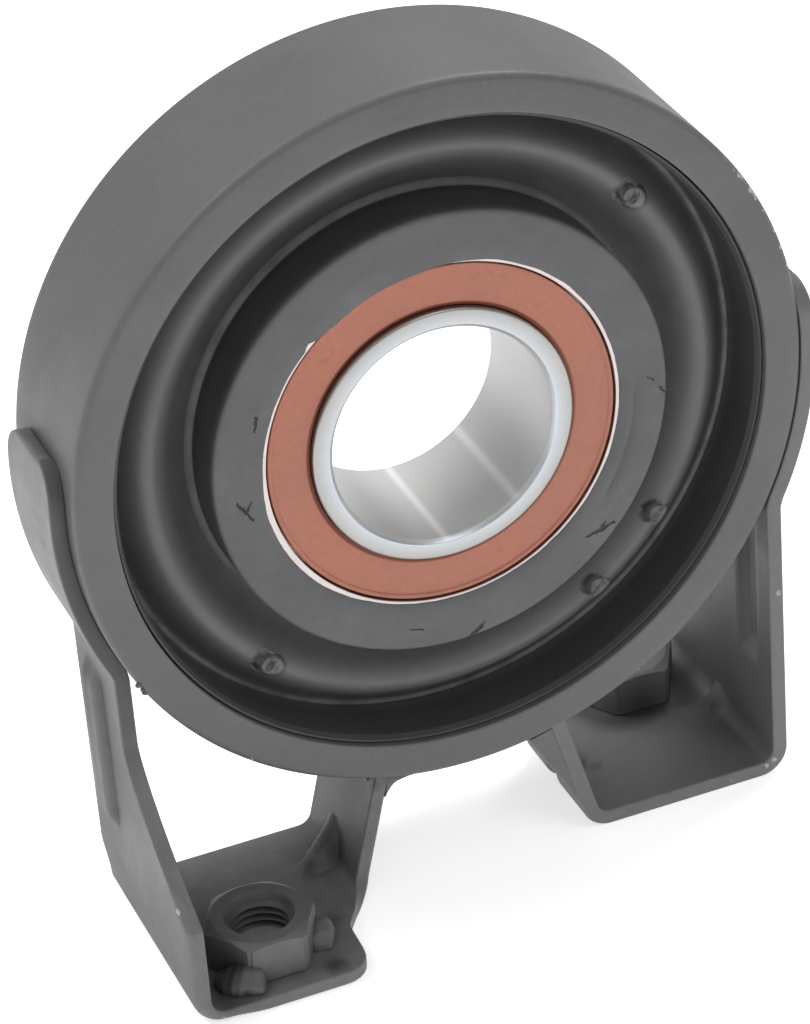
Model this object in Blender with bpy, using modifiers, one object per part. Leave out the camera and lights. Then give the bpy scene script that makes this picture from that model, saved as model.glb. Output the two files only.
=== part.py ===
"""Standing centre bearing for a propeller shaft.

A steel ring on two pressed brackets holds a rubber element, a steel sleeve and
a wide sealed ball bearing. Lengths are in metres and +Z is up. The shaft runs
along Y, and the front is on the -Y side. The origin is below the middle of the
part, on the plane that it stands on.
"""
import math

import bmesh
import bpy
from mathutils import Matrix, Vector

# Fits
SEAT_GAP = 0.0003
TURN_GAP = 0.0003

# Housing ring
RING_RADIUS = 0.0661
RING_WALL = 0.0069
RING_WIDTH = 0.0312
RING_OUTER_ROUND = 0.0014
RING_INNER_CHAMFER = 0.0004

# Ball bearing
SHAFT_RADIUS = 0.020
BEARING_RADIUS = 0.034
OUTER_RACE_WIDTH = 0.0264
INNER_RACE_STANDOUT = 0.0004
BORE_CHAMFER = 0.0010
RACE_CHAMFER = 0.0006
BALL_COUNT = 12

# Shares of the bearing's section, from its bore to its outside
BALL_SHARE = 0.2786
SHOULDER_SHARE = 0.1786
LAND_SHARE = 0.2357
SEAL_SHARE = 0.3286

# Seals
SEAL_THICKNESS = 0.0021
SEAL_SETBACK = 0.0003
SEAL_BEAD = 0.0005

# Ball cage, whose wall is a share of the room between the races' shoulders
CAGE_SHARE = 0.68
CAGE_RIM = 0.0013
CAGE_PRONG = 0.0020

# Sleeve and rubber
SLEEVE_WALL = 0.0015
COVER_WALL = 0.0053
COVER_WIDTH = 0.0270
COVER_OVERHANG = 0.0010
COVER_LIP = 0.0007
LINING_WALL = 0.0009
LINING_LIP = 0.0005
LINING_SETBACK = 0.0011
WEB_THICKNESS = 0.0040
WEB_FOOT_DEPTH = 0.0129
HUMP_HEIGHT = 0.0057
HUMP_SKEW = 1.23
HUMP_STEPS = 7

# Brackets, with heights measured up from the feet
SHEET = 0.0028
RING_CLEARANCE = 0.0219
STRAP_INSET = 0.0046
TAB_TOP_ANGLE = math.radians(9.0)
TAB_CORNER = 0.006
LEG_ANGLE = math.radians(14.8)
BEND_RADIUS = 0.0040
STRAP_WIDTH = 0.022
LEG_WIDTH = 0.026
FLARE_TOP = 0.0430
FLARE_BOTTOM = 0.0206
FLARE_POWER = 1.476
TIP_LAND = 0.0030
FOOT_CORNER = 0.005
TIP_CUT = 0.012
TIP_STEP = 0.0003
BEAD_OFFSET = 0.0017
BEAD_HALF_WIDTH = 0.0048
BEAD_HEIGHT = 0.0021
BEAD_DROP = 0.0026
BEAD_BOTTOM = 0.0165
BEAD_TAPER = 0.006
DART_SHARE = 0.75
DART_HALF_WIDTH = 0.0048
DART_REACH = 0.0088
LEFT_EDGE_INSET = 0.0046
RIGHT_EDGE_INSET = 0.0001

# Weld nuts
NUT_ACROSS_FLATS = 0.018
NUT_HEIGHT = 0.0078
NUT_CHAMFER = 0.0010
NUT_FACE_INSET = 0.0006
THREAD_RADIUS = 0.0051
COUNTERSINK = 0.0011
NUT_ROOM = 0.0009
NUT_FORWARD = 0.0350
NUT_EDGE = 0.0130
BOLT_CLEARANCE = 0.0015

# Weld runs
WELD_RADIUS = 0.0015
WELD_END_SHARE = 0.12
WELD_END_SWELL = 0.62
LEG_WELD_MARGIN = 0.003
NUT_WELD_LENGTH = 0.0085

# Facets
LARGE_STEPS = 60
SMALL_STEPS = 44
HOLE_STEPS = 24
GROOVE_STEPS = 4
ROUND_STEPS = 3
BEND_STEPS = 4
TAB_STEPS = 7
TAB_CORNER_SHARES = (0.0, 0.12, 0.4)
FLARE_SHARES = (0.0, 0.15, 0.32, 0.54, 0.77, 1.0)
FOOT_CORNER_SHARES = (0.0, 0.5, 0.75, 0.92, 1.0)
EDGE_SHARES = (0.35, 0.7, 1.0)
BALL_SEGMENTS = 12
BALL_RINGS = 6
SHARP_ANGLE = math.radians(40.0)

# Sizes that follow
RING_BORE = RING_RADIUS - RING_WALL
SECTION = BEARING_RADIUS - SHAFT_RADIUS
PITCH_RADIUS = (BEARING_RADIUS + SHAFT_RADIUS) / 2
BALL_RADIUS = SECTION * BALL_SHARE
INNER_SHOULDER_RADIUS = PITCH_RADIUS - SECTION * SHOULDER_SHARE
OUTER_SHOULDER_RADIUS = PITCH_RADIUS + SECTION * SHOULDER_SHARE
INNER_LAND_RADIUS = PITCH_RADIUS - SECTION * LAND_SHARE
SEAL_RADIUS = PITCH_RADIUS + SECTION * SEAL_SHARE
CAGE_WALL = (OUTER_SHOULDER_RADIUS - INNER_SHOULDER_RADIUS) * CAGE_SHARE
SLEEVE_BORE = BEARING_RADIUS + SEAT_GAP
SLEEVE_RADIUS = SLEEVE_BORE + SLEEVE_WALL
COVER_BORE = SLEEVE_RADIUS + SEAT_GAP
COVER_RADIUS = COVER_BORE + COVER_WALL
LINING_RADIUS = RING_BORE - SEAT_GAP
LINING_BORE = LINING_RADIUS - LINING_WALL
GROOVE_RADIUS = BALL_RADIUS + TURN_GAP
SEAL_FACE = OUTER_RACE_WIDTH / 2 - SEAL_SETBACK
SEAL_SEAT_RADIUS = SEAL_RADIUS + SEAT_GAP
SEAL_LIP_RADIUS = INNER_LAND_RADIUS + TURN_GAP
AXIS_HEIGHT = RING_RADIUS + RING_CLEARANCE
FLOOR_TOP = AXIS_HEIGHT - SHEET
WALL_MIDDLE = RING_RADIUS - STRAP_INSET - SHEET / 2
HEX_RADIUS = NUT_ACROSS_FLATS / math.sqrt(3.0)
NUT_OUTBOARD = WALL_MIDDLE - BEND_RADIUS - HEX_RADIUS - NUT_ROOM
NUT_FACE_RADIUS = NUT_ACROSS_FLATS / 2 - NUT_FACE_INSET
COUNTERSINK_RADIUS = THREAD_RADIUS + COUNTERSINK
BOLT_HOLE_RADIUS = THREAD_RADIUS + BOLT_CLEARANCE
FOOT_DEPTH = NUT_FORWARD + NUT_EDGE
FOOT_TIP_RUN = FOOT_DEPTH - TIP_CUT
BEAD_CENTRE = STRAP_WIDTH / 2 - BEAD_OFFSET
DART_CENTRE = STRAP_WIDTH * DART_SHARE
LEFT_STRAIGHT_EDGE = RING_WIDTH / 2 - LEFT_EDGE_INSET
RIGHT_STRAIGHT_EDGE = RIGHT_EDGE_INSET - RING_WIDTH / 2
BOX_BACK = RIGHT_STRAIGHT_EDGE + FOOT_DEPTH
BOX_FRONT = LEFT_STRAIGHT_EDGE - FOOT_DEPTH
AXIS_OFFSET = -(BOX_BACK + BOX_FRONT) / 2


def clear_scene():
    for item in list(bpy.data.objects):
        bpy.data.objects.remove(item, do_unlink=True)


def make_collection(name):
    found = bpy.data.collections.new(name)
    bpy.context.scene.collection.children.link(found)
    return found


def make_material(name, colour, roughness, metallic):
    material = bpy.data.materials.new(name)
    material.use_nodes = True
    shader = material.node_tree.nodes["Principled BSDF"]
    shader.inputs["Base Color"].default_value = (*colour, 1.0)
    shader.inputs["Roughness"].default_value = roughness
    shader.inputs["Metallic"].default_value = metallic
    return material


def add_object(name, mesh, collection, parent, material=None):
    item = bpy.data.objects.new(name, mesh)
    collection.objects.link(item)
    item.parent = parent
    if material is not None and not mesh.materials:
        mesh.materials.append(material)
    return item


def add_cutter(name, mesh, collection, parent):
    item = add_object(name, mesh, collection, parent)
    item.hide_render = True
    item.display_type = "WIRE"
    return item


def turn_profile(item, steps):
    """Spin a closed outline in the XZ plane about the local Z axis."""
    screw = item.modifiers.new("turn", "SCREW")
    screw.axis = "Z"
    screw.angle = math.tau
    screw.steps = steps
    screw.render_steps = steps
    screw.use_merge_vertices = True
    screw.merge_threshold = 0.00001
    screw.use_smooth_shade = True


def outline_mesh(name, outline):
    """Closed outline of (radius, height) points, down the outer side first."""
    mesh = bpy.data.meshes.new(name)
    count = len(outline)
    points = [(radius, 0.0, height) for radius, height in outline]
    mesh.from_pydata(points, [(i, (i + 1) % count) for i in range(count)], [])
    return mesh


def turned_ring(name, outline, steps, collection, parent, material):
    item = add_object(name, outline_mesh(name, outline), collection, parent, material)
    turn_profile(item, steps)
    return item


def arc(centre, radius, start, end, steps):
    """Points on an arc from one angle to another, both ends included."""
    points = []
    for i in range(steps + 1):
        angle = start + (end - start) * i / steps
        points.append((centre[0] + radius * math.cos(angle), centre[1] + radius * math.sin(angle)))
    return points


def mirrored_down(upper):
    """The lower half of an outline that is the same above and below its middle."""
    return [(radius, -height) for radius, height in reversed(upper)]


def subtract(item, cutter):
    cut = item.modifiers.new("cut_" + cutter.name, "BOOLEAN")
    cut.operation = "DIFFERENCE"
    cut.solver = "EXACT"
    cut.object = cutter
    return cut


def housing_ring(collection, axis, material):
    half = RING_WIDTH / 2
    corner = (RING_RADIUS - RING_OUTER_ROUND, half - RING_OUTER_ROUND)
    outside = arc(corner, RING_OUTER_ROUND, math.pi / 2, 0.0, ROUND_STEPS)
    inside = [(RING_BORE, half - RING_INNER_CHAMFER), (RING_BORE + RING_INNER_CHAMFER, half)]
    outline = outside + mirrored_down(outside) + mirrored_down(inside) + inside
    return turned_ring("housing_ring", outline, LARGE_STEPS, collection, axis, material)


def web_height(radius):
    """Front of the rubber web: one rounded fold, fuller toward the ring, between two feet."""
    share = ((radius - COVER_RADIUS) / (LINING_BORE - COVER_RADIUS)) ** HUMP_SKEW
    foot = RING_WIDTH / 2 - WEB_FOOT_DEPTH
    return foot + HUMP_HEIGHT * math.sin(math.pi * share) ** 2


def rubber_cushion(collection, axis, material):
    lining_end = RING_WIDTH / 2 - LINING_SETBACK
    cover_end = COVER_WIDTH / 2
    sleeve_end = cover_end - COVER_OVERHANG + SEAT_GAP
    span = LINING_BORE - COVER_RADIUS
    radii = [COVER_RADIUS + span * i / HUMP_STEPS for i in range(HUMP_STEPS + 1)]
    front_web = [(radius, web_height(radius)) for radius in radii]
    back_web = [(radius, web_height(radius) - WEB_THICKNESS) for radius in reversed(radii)]
    outline = [(LINING_RADIUS, lining_end), (LINING_RADIUS, -lining_end)]
    outline += [(LINING_BORE + LINING_LIP, -lining_end), (LINING_BORE, -lining_end + LINING_LIP)]
    outline += back_web
    outline += [(COVER_RADIUS, -cover_end + COVER_LIP), (COVER_RADIUS - COVER_LIP, -cover_end)]
    outline += [(SLEEVE_BORE, -cover_end), (SLEEVE_BORE, -sleeve_end), (COVER_BORE, -sleeve_end)]
    outline += [(COVER_BORE, sleeve_end), (SLEEVE_BORE, sleeve_end), (SLEEVE_BORE, cover_end)]
    outline += [(COVER_RADIUS - COVER_LIP, cover_end), (COVER_RADIUS, cover_end - COVER_LIP)]
    outline += front_web
    outline += [(LINING_BORE, lining_end - LINING_LIP), (LINING_BORE + LINING_LIP, lining_end)]
    return turned_ring("rubber_cushion", outline, LARGE_STEPS, collection, axis, material)


def inner_sleeve(collection, axis, material):
    half = COVER_WIDTH / 2 - COVER_OVERHANG
    outline = [(SLEEVE_RADIUS, half), (SLEEVE_RADIUS, -half), (SLEEVE_BORE, -half), (SLEEVE_BORE, half)]
    return turned_ring("inner_sleeve", outline, SMALL_STEPS, collection, axis, material)


def groove_half_width(shoulder):
    return math.sqrt(GROOVE_RADIUS ** 2 - (shoulder - PITCH_RADIUS) ** 2)


def bearing_inner_race(collection, axis, material):
    half = OUTER_RACE_WIDTH / 2 + INNER_RACE_STANDOUT
    land_end = SEAL_FACE - SEAL_THICKNESS - SEAT_GAP
    groove = groove_half_width(INNER_SHOULDER_RADIUS)
    reach = math.asin(groove / GROOVE_RADIUS)
    track = arc((PITCH_RADIUS, 0.0), GROOVE_RADIUS, math.pi - reach, math.pi + reach, GROOVE_STEPS)
    upper = [(INNER_LAND_RADIUS - RACE_CHAMFER, half), (INNER_LAND_RADIUS, half - RACE_CHAMFER)]
    upper += [(INNER_LAND_RADIUS, land_end), (INNER_SHOULDER_RADIUS, land_end - RACE_CHAMFER)]
    bore = [(SHAFT_RADIUS, half - BORE_CHAMFER), (SHAFT_RADIUS + BORE_CHAMFER, half)]
    outline = upper + track + mirrored_down(upper) + mirrored_down(bore) + bore
    return turned_ring("bearing_inner_race", outline, SMALL_STEPS, collection, axis, material)


def bearing_outer_race(collection, axis, material):
    half = OUTER_RACE_WIDTH / 2
    seat_end = SEAL_FACE - SEAL_THICKNESS - SEAT_GAP
    groove = groove_half_width(OUTER_SHOULDER_RADIUS)
    reach = math.asin(groove / GROOVE_RADIUS)
    track = arc((PITCH_RADIUS, 0.0), GROOVE_RADIUS, -reach, reach, GROOVE_STEPS)
    outside = [(BEARING_RADIUS - RACE_CHAMFER, half), (BEARING_RADIUS, half - RACE_CHAMFER)]
    inside = [(OUTER_SHOULDER_RADIUS, seat_end), (SEAL_SEAT_RADIUS, seat_end), (SEAL_SEAT_RADIUS, half)]
    outline = outside + mirrored_down(outside) + mirrored_down(inside) + track + inside
    return turned_ring("bearing_outer_race", outline, SMALL_STEPS, collection, axis, material)


def seal(name, side, collection, axis, material):
    """Moulded seal with a raised bead at its rim and a lip at the inner land."""
    face = SEAL_FACE
    back = face - SEAL_THICKNESS
    outline = [(SEAL_RADIUS - SEAL_BEAD, face), (SEAL_RADIUS, face - SEAL_BEAD), (SEAL_RADIUS, back)]
    outline += [(SEAL_LIP_RADIUS + SEAL_BEAD, back), (SEAL_LIP_RADIUS, back + SEAL_BEAD)]
    outline += [(SEAL_LIP_RADIUS, face - 2 * SEAL_BEAD), (SEAL_LIP_RADIUS + 2 * SEAL_BEAD, face - SEAL_BEAD)]
    outline += [(SEAL_RADIUS - 3 * SEAL_BEAD, face - SEAL_BEAD)]
    item = turned_ring(name, outline, SMALL_STEPS, collection, axis, material)
    if side < 0:
        item.rotation_euler = (math.pi, 0.0, 0.0)
    return item


def ball_mesh():
    mesh = bpy.data.meshes.new("ball")
    shape = bmesh.new()
    bmesh.ops.create_uvsphere(shape, u_segments=BALL_SEGMENTS, v_segments=BALL_RINGS, radius=BALL_RADIUS)
    shape.to_mesh(mesh)
    shape.free()
    mesh.shade_smooth()
    return mesh


def ball_places():
    for i in range(BALL_COUNT):
        angle = math.tau * i / BALL_COUNT
        yield i + 1, Vector((PITCH_RADIUS * math.cos(angle), PITCH_RADIUS * math.sin(angle), 0.0))


def balls(collection, axis, material):
    mesh = ball_mesh()
    for number, place in ball_places():
        item = add_object(f"ball_{number:02d}", mesh, collection, axis, material)
        item.location = place


def ball_cage(collection, cutters, axis, material):
    """Crown cage: a rim behind the balls, with prongs between them."""
    inner = PITCH_RADIUS - CAGE_WALL / 2
    outer = PITCH_RADIUS + CAGE_WALL / 2
    pocket_radius = BALL_RADIUS + TURN_GAP
    back = -pocket_radius - CAGE_RIM
    outline = [(outer, CAGE_PRONG), (outer, back), (inner, back), (inner, CAGE_PRONG)]
    item = turned_ring("ball_cage", outline, SMALL_STEPS, collection, axis, material)
    mesh = bpy.data.meshes.new("cage_pockets")
    shape = bmesh.new()
    for number, place in ball_places():
        bmesh.ops.create_uvsphere(shape, u_segments=BALL_SEGMENTS, v_segments=BALL_RINGS,
                                  radius=pocket_radius, matrix=Matrix.Translation(place))
    shape.to_mesh(mesh)
    shape.free()
    subtract(item, add_cutter("cage_pockets", mesh, cutters, axis))
    return item


def smooth_step(value, start, end):
    share = min(max((value - start) / (end - start), 0.0), 1.0)
    return share * share * (3.0 - 2.0 * share)


class FoldLine:
    """Middle line of the bracket sheet, seen along Y, as (x, z) points.

    It runs down the tab round the ring, down the wall, along the foot and up
    the inner leg, which points at the shaft's axis.
    """

    def __init__(self):
        self.tab_radius = RING_RADIUS + SEAT_GAP + SHEET / 2
        self.wall_x = WALL_MIDDLE
        self.floor_z = -AXIS_HEIGHT + SHEET / 2
        self.leave_angle = -math.acos(self.wall_x / self.tab_radius)
        self.leave_z = self.tab_radius * math.sin(self.leave_angle)
        self.leg_foot_x = -self.floor_z * math.tan(LEG_ANGLE)
        leg_turn = math.pi / 2 - LEG_ANGLE
        self.leg_set = BEND_RADIUS * math.tan(leg_turn / 2)
        self.leg_turn = leg_turn
        self.tip_x = self.leg_foot_x + self.leg_set + TIP_LAND
        self.bead_top = -self.leave_z + BEAD_DROP
        self.leg_end_radius = RING_RADIUS + SEAT_GAP

    def tab_points(self, steps):
        end = self.leave_angle + SHEET / self.tab_radius
        return arc((0.0, 0.0), self.tab_radius, TAB_TOP_ANGLE, end, steps)

    def on_tab(self, fall):
        """Point on the tab so far below its top."""
        height = self.tab_radius * math.sin(TAB_TOP_ANGLE) - fall
        return (math.sqrt(self.tab_radius ** 2 - height ** 2), height)

    def wall_bend(self, steps):
        centre = (self.wall_x - BEND_RADIUS, self.floor_z + BEND_RADIUS)
        return arc(centre, BEND_RADIUS, 0.0, -math.pi / 2, steps)

    def leg_bend(self, steps):
        centre = (self.leg_foot_x + self.leg_set, self.floor_z + BEND_RADIUS)
        return arc(centre, BEND_RADIUS, -math.pi / 2, -math.pi / 2 - self.leg_turn, steps)

    def leg_point(self, radius):
        return (radius * math.sin(LEG_ANGLE), -radius * math.cos(LEG_ANGLE))


def tab_stations(line):
    """The tab on the ring, with the rounded corners at its top."""
    points = line.tab_points(TAB_STEPS)
    top = points[0]
    corner = [(line.on_tab(TAB_CORNER * share), TAB_CORNER * share) for share in TAB_CORNER_SHARES]
    corner += [(point, top[1] - point[1]) for point in points[1:]]
    stations = []
    for (x, z), fall in corner:
        rest = max(TAB_CORNER - fall, 0.0)
        inset = TAB_CORNER - math.sqrt(TAB_CORNER ** 2 - rest ** 2)
        stations.append((x, z, STRAP_WIDTH - inset, inset))
    return stations


def wall_stations(line):
    """The wall, which widens toward the foot, and the bend below it."""
    start = AXIS_HEIGHT - FLARE_TOP
    flare = FLARE_TOP - FLARE_BOTTOM
    drops = [-line.leave_z + SHEET / 2, line.bead_top + BEAD_TAPER, -line.floor_z - 2 * BEND_RADIUS]
    drops += [start + flare * share for share in FLARE_SHARES]
    stations = []
    for drop in sorted(drops):
        lean = min(max((drop - start) / flare, 0.0), 1.0) ** FLARE_POWER
        stations.append((line.wall_x, -drop, STRAP_WIDTH + (FOOT_DEPTH - STRAP_WIDTH) * lean, 0.0))
    return stations + [(x, z, FOOT_DEPTH, 0.0) for x, z in line.wall_bend(BEND_STEPS)]


def foot_stations(line):
    """The foot, its rounded free corner and the cut beside its tip."""
    stations = []
    for share in FOOT_CORNER_SHARES:
        inset = FOOT_CORNER * (1.0 - math.sqrt(1.0 - share ** 2))
        stations.append((line.tip_x + FOOT_CORNER * (1.0 - share), line.floor_z, FOOT_DEPTH - inset, 0.0))
    stations.append((line.tip_x - TIP_STEP, line.floor_z, FOOT_TIP_RUN, 0.0))
    return stations


def leg_stations(line):
    """The bend at the foot of the inner leg, and the leg up to the ring."""
    bend = line.leg_bend(BEND_STEPS)
    stations = []
    for x, z in bend:
        share = (x - bend[-1][0]) / (line.tip_x - bend[-1][0])
        stations.append((x, z, LEG_WIDTH + (FOOT_TIP_RUN - LEG_WIDTH) * share, 0.0))
    start = math.hypot(*bend[-1])
    for radius in ((start + line.leg_end_radius) / 2, line.leg_end_radius):
        stations.append((*line.leg_point(radius), LEG_WIDTH, 0.0))
    return stations


def across_places(far, near):
    """Places across the sheet: held ones at the pressed details, then spread to the far edge."""
    narrowing = 1.0 - 2.0 * near / STRAP_WIDTH
    held = [0.0]
    held += [BEAD_CENTRE + BEAD_HALF_WIDTH * share for share in (-1.0, -0.5, 0.0, 0.5)]
    held += [DART_CENTRE + DART_HALF_WIDTH * share for share in (-0.5, 0.0, 0.5)]
    places = [near + value * narrowing for value in held]
    return places + [places[-1] + (far - places[-1]) * share for share in EDGE_SHARES]


def bead_lift(drop, top, across):
    """Outward rise of the stiffening bead pressed in the wall."""
    if abs(across - BEAD_CENTRE) >= BEAD_HALF_WIDTH:
        return 0.0
    bottom = AXIS_HEIGHT - BEAD_BOTTOM
    ends = smooth_step(drop, top, top + BEAD_TAPER)
    ends *= 1.0 - smooth_step(drop, bottom - BEAD_TAPER, bottom)
    wave = math.cos(math.pi * (across - BEAD_CENTRE) / (2 * BEAD_HALF_WIDTH)) ** 2
    return BEAD_HEIGHT * ends * wave


def dart_share(across):
    if abs(across - DART_CENTRE) >= DART_HALF_WIDTH:
        return 0.0
    return math.cos(math.pi * (across - DART_CENTRE) / (2 * DART_HALF_WIDTH)) ** 2


def drawn_in(point, corner, direction_in, direction_out, across):
    """Pull a point at a bend toward the straight dart across the corner."""
    along_in = (corner - point).dot(direction_in)
    along_out = (point - corner).dot(direction_out)
    if along_in > DART_REACH or along_out > DART_REACH:
        return point
    start = corner - direction_in * DART_REACH
    end = corner + direction_out * DART_REACH
    position = (DART_REACH - max(along_in, 0.0) + max(along_out, 0.0)) / (2 * DART_REACH)
    chord = start.lerp(end, position)
    return point.lerp(chord, dart_share(across))


def bracket_mesh():
    """One pressing: a flat grid folded along the bend line, with pressed details."""
    line = FoldLine()
    stations = tab_stations(line) + wall_stations(line) + foot_stations(line) + leg_stations(line)
    columns = len(across_places(STRAP_WIDTH, 0.0))
    shape = bmesh.new()
    bmesh.ops.create_grid(shape, x_segments=len(stations) - 1, y_segments=columns - 1, size=1.0)
    order = sorted(shape.verts, key=lambda vert: (round(vert.co.x, 5), round(vert.co.y, 5)))
    corner = Vector((line.leg_foot_x, line.floor_z))
    inward = Vector((-1.0, 0.0))
    up_leg = Vector((-math.sin(LEG_ANGLE), math.cos(LEG_ANGLE)))
    for row, (x, z, far, near) in enumerate(stations):
        for column, across in enumerate(across_places(far, near)):
            point = drawn_in(Vector((x, z)), corner, inward, up_leg, across)
            lift = bead_lift(-z, line.bead_top, across) if x == line.wall_x else 0.0
            order[row * columns + column].co = Vector((point.x + lift, across, point.y))
    bmesh.ops.recalc_face_normals(shape, faces=shape.faces)
    mesh = bpy.data.meshes.new("pressed_bracket")
    shape.to_mesh(mesh)
    shape.free()
    mesh.shade_smooth()
    mesh.set_sharp_from_angle(angle=SHARP_ANGLE)
    return mesh


def bolt_hole_mesh():
    mesh = bpy.data.meshes.new("bolt_hole")
    shape = bmesh.new()
    place = Matrix.Translation(Vector((NUT_OUTBOARD, NUT_FORWARD, SHEET / 2 - AXIS_HEIGHT)))
    bmesh.ops.create_cone(shape, cap_ends=True, segments=HOLE_STEPS, radius1=BOLT_HOLE_RADIUS,
                          radius2=BOLT_HOLE_RADIUS, depth=SHEET * 3, matrix=place)
    shape.to_mesh(mesh)
    shape.free()
    return mesh


def hexagon_mesh():
    mesh = bpy.data.meshes.new("hexagon")
    shape = bmesh.new()
    place = Matrix.Translation(Vector((0.0, 0.0, NUT_HEIGHT / 2))) @ Matrix.Rotation(math.pi / 6, 4, "Z")
    bmesh.ops.create_cone(shape, cap_ends=True, segments=6, radius1=HEX_RADIUS, radius2=HEX_RADIUS,
                          depth=NUT_HEIGHT, matrix=place)
    shape.to_mesh(mesh)
    shape.free()
    return mesh


def nut_blank_outline():
    """Turned shape that gives the hexagon its chamfer, hole and countersink."""
    outside = HEX_RADIUS + NUT_CHAMFER
    slope = NUT_CHAMFER / (HEX_RADIUS - NUT_FACE_RADIUS)
    low = NUT_HEIGHT - slope * (outside - NUT_FACE_RADIUS)
    above = NUT_HEIGHT + slope * NUT_CHAMFER
    countersink = COUNTERSINK_RADIUS - THREAD_RADIUS
    outline = [(NUT_FACE_RADIUS - NUT_CHAMFER, above), (outside, low), (outside, -NUT_CHAMFER)]
    outline += [(THREAD_RADIUS, -NUT_CHAMFER), (THREAD_RADIUS, NUT_HEIGHT - countersink)]
    outline += [(COUNTERSINK_RADIUS + NUT_CHAMFER, NUT_HEIGHT + NUT_CHAMFER)]
    return outline


def weld_nut(name, collection, cutters, frame, material):
    item = add_object(name, hexagon_mesh(), collection, frame, material)
    item.location = (NUT_OUTBOARD, NUT_FORWARD, SEAT_GAP - FLOOR_TOP)
    blank = add_cutter(name + "_blank", outline_mesh(name + "_blank", nut_blank_outline()), cutters, item)
    turn_profile(blank, HOLE_STEPS)
    shape = item.modifiers.new("turned", "BOOLEAN")
    shape.operation = "INTERSECT"
    shape.solver = "EXACT"
    shape.object = blank
    return item


def weld_run(name, start, end, collection, frame, material):
    """A run of weld metal, lying as a rounded bead between two points."""
    curve = bpy.data.curves.new(name, "CURVE")
    curve.dimensions = "3D"
    curve.bevel_depth = WELD_RADIUS
    curve.bevel_resolution = 2
    curve.use_fill_caps = True
    spline = curve.splines.new("POLY")
    shares = (0.0, WELD_END_SHARE, 1.0 - WELD_END_SHARE, 1.0)
    swells = (WELD_END_SWELL, 1.0, 1.0, WELD_END_SWELL)
    spline.points.add(len(shares) - 1)
    for point, share, swell in zip(spline.points, shares, swells):
        point.co = (*start.lerp(end, share), 1.0)
        point.radius = swell
    curve.materials.append(material)
    item = bpy.data.objects.new(name, curve)
    collection.objects.link(item)
    item.parent = frame
    return item


def leg_weld(name, side, collection, frame, material):
    """Fillet run in the corner between the inner leg and the ring."""
    clear = WELD_RADIUS + SEAT_GAP
    from_axis = RING_RADIUS + clear
    aside = side * (SHEET / 2 + clear)
    reach = math.sqrt(from_axis ** 2 - aside ** 2)
    radial = Vector((math.sin(LEG_ANGLE), 0.0, -math.cos(LEG_ANGLE)))
    sideways = Vector((math.cos(LEG_ANGLE), 0.0, math.sin(LEG_ANGLE)))
    place = radial * reach + sideways * aside
    start = place + Vector((0.0, LEG_WELD_MARGIN, 0.0))
    end = place + Vector((0.0, LEG_WIDTH - LEG_WELD_MARGIN, 0.0))
    return weld_run(name, start, end, collection, frame, material)


def nut_weld(name, angle, collection, frame, material):
    """Fillet run along the foot of one flat of the nut."""
    clear = WELD_RADIUS + SEAT_GAP
    outward = Vector((math.cos(angle), math.sin(angle), 0.0))
    along = Vector((-math.sin(angle), math.cos(angle), 0.0))
    centre = Vector((NUT_OUTBOARD, NUT_FORWARD, clear - FLOOR_TOP))
    centre += outward * (NUT_ACROSS_FLATS / 2 + clear)
    half = along * NUT_WELD_LENGTH / 2
    return weld_run(name, centre - half, centre + half, collection, frame, material)


def bracket_side(side, straight_edge, turned, mesh, collections, root, materials):
    """A bracket with its nut and welds; the left one is the same pressing turned round."""
    parts, cutters = collections
    steel, bare = materials
    frame = bpy.data.objects.new(side + "_frame", None)
    parts.objects.link(frame)
    frame.parent = root
    frame.location = (0.0, straight_edge, 0.0)
    if turned:
        frame.rotation_euler = (0.0, 0.0, math.pi)
    bracket = add_object(side + "_bracket", mesh, parts, frame, steel)
    thickness = bracket.modifiers.new("sheet", "SOLIDIFY")
    thickness.thickness = SHEET
    thickness.offset = 0.0
    thickness.use_even_offset = True
    subtract(bracket, add_cutter(side + "_bolt_hole", bolt_hole_mesh(), cutters, frame))
    weld_nut(side + "_weld_nut", parts, cutters, frame, bare)
    leg_weld(side + "_leg_weld_inner", -1, parts, frame, steel)
    leg_weld(side + "_leg_weld_outer", 1, parts, frame, steel)
    nut_weld(side + "_nut_weld_inner", math.radians(150.0), parts, frame, steel)
    nut_weld(side + "_nut_weld_outer", math.radians(30.0), parts, frame, steel)


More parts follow.
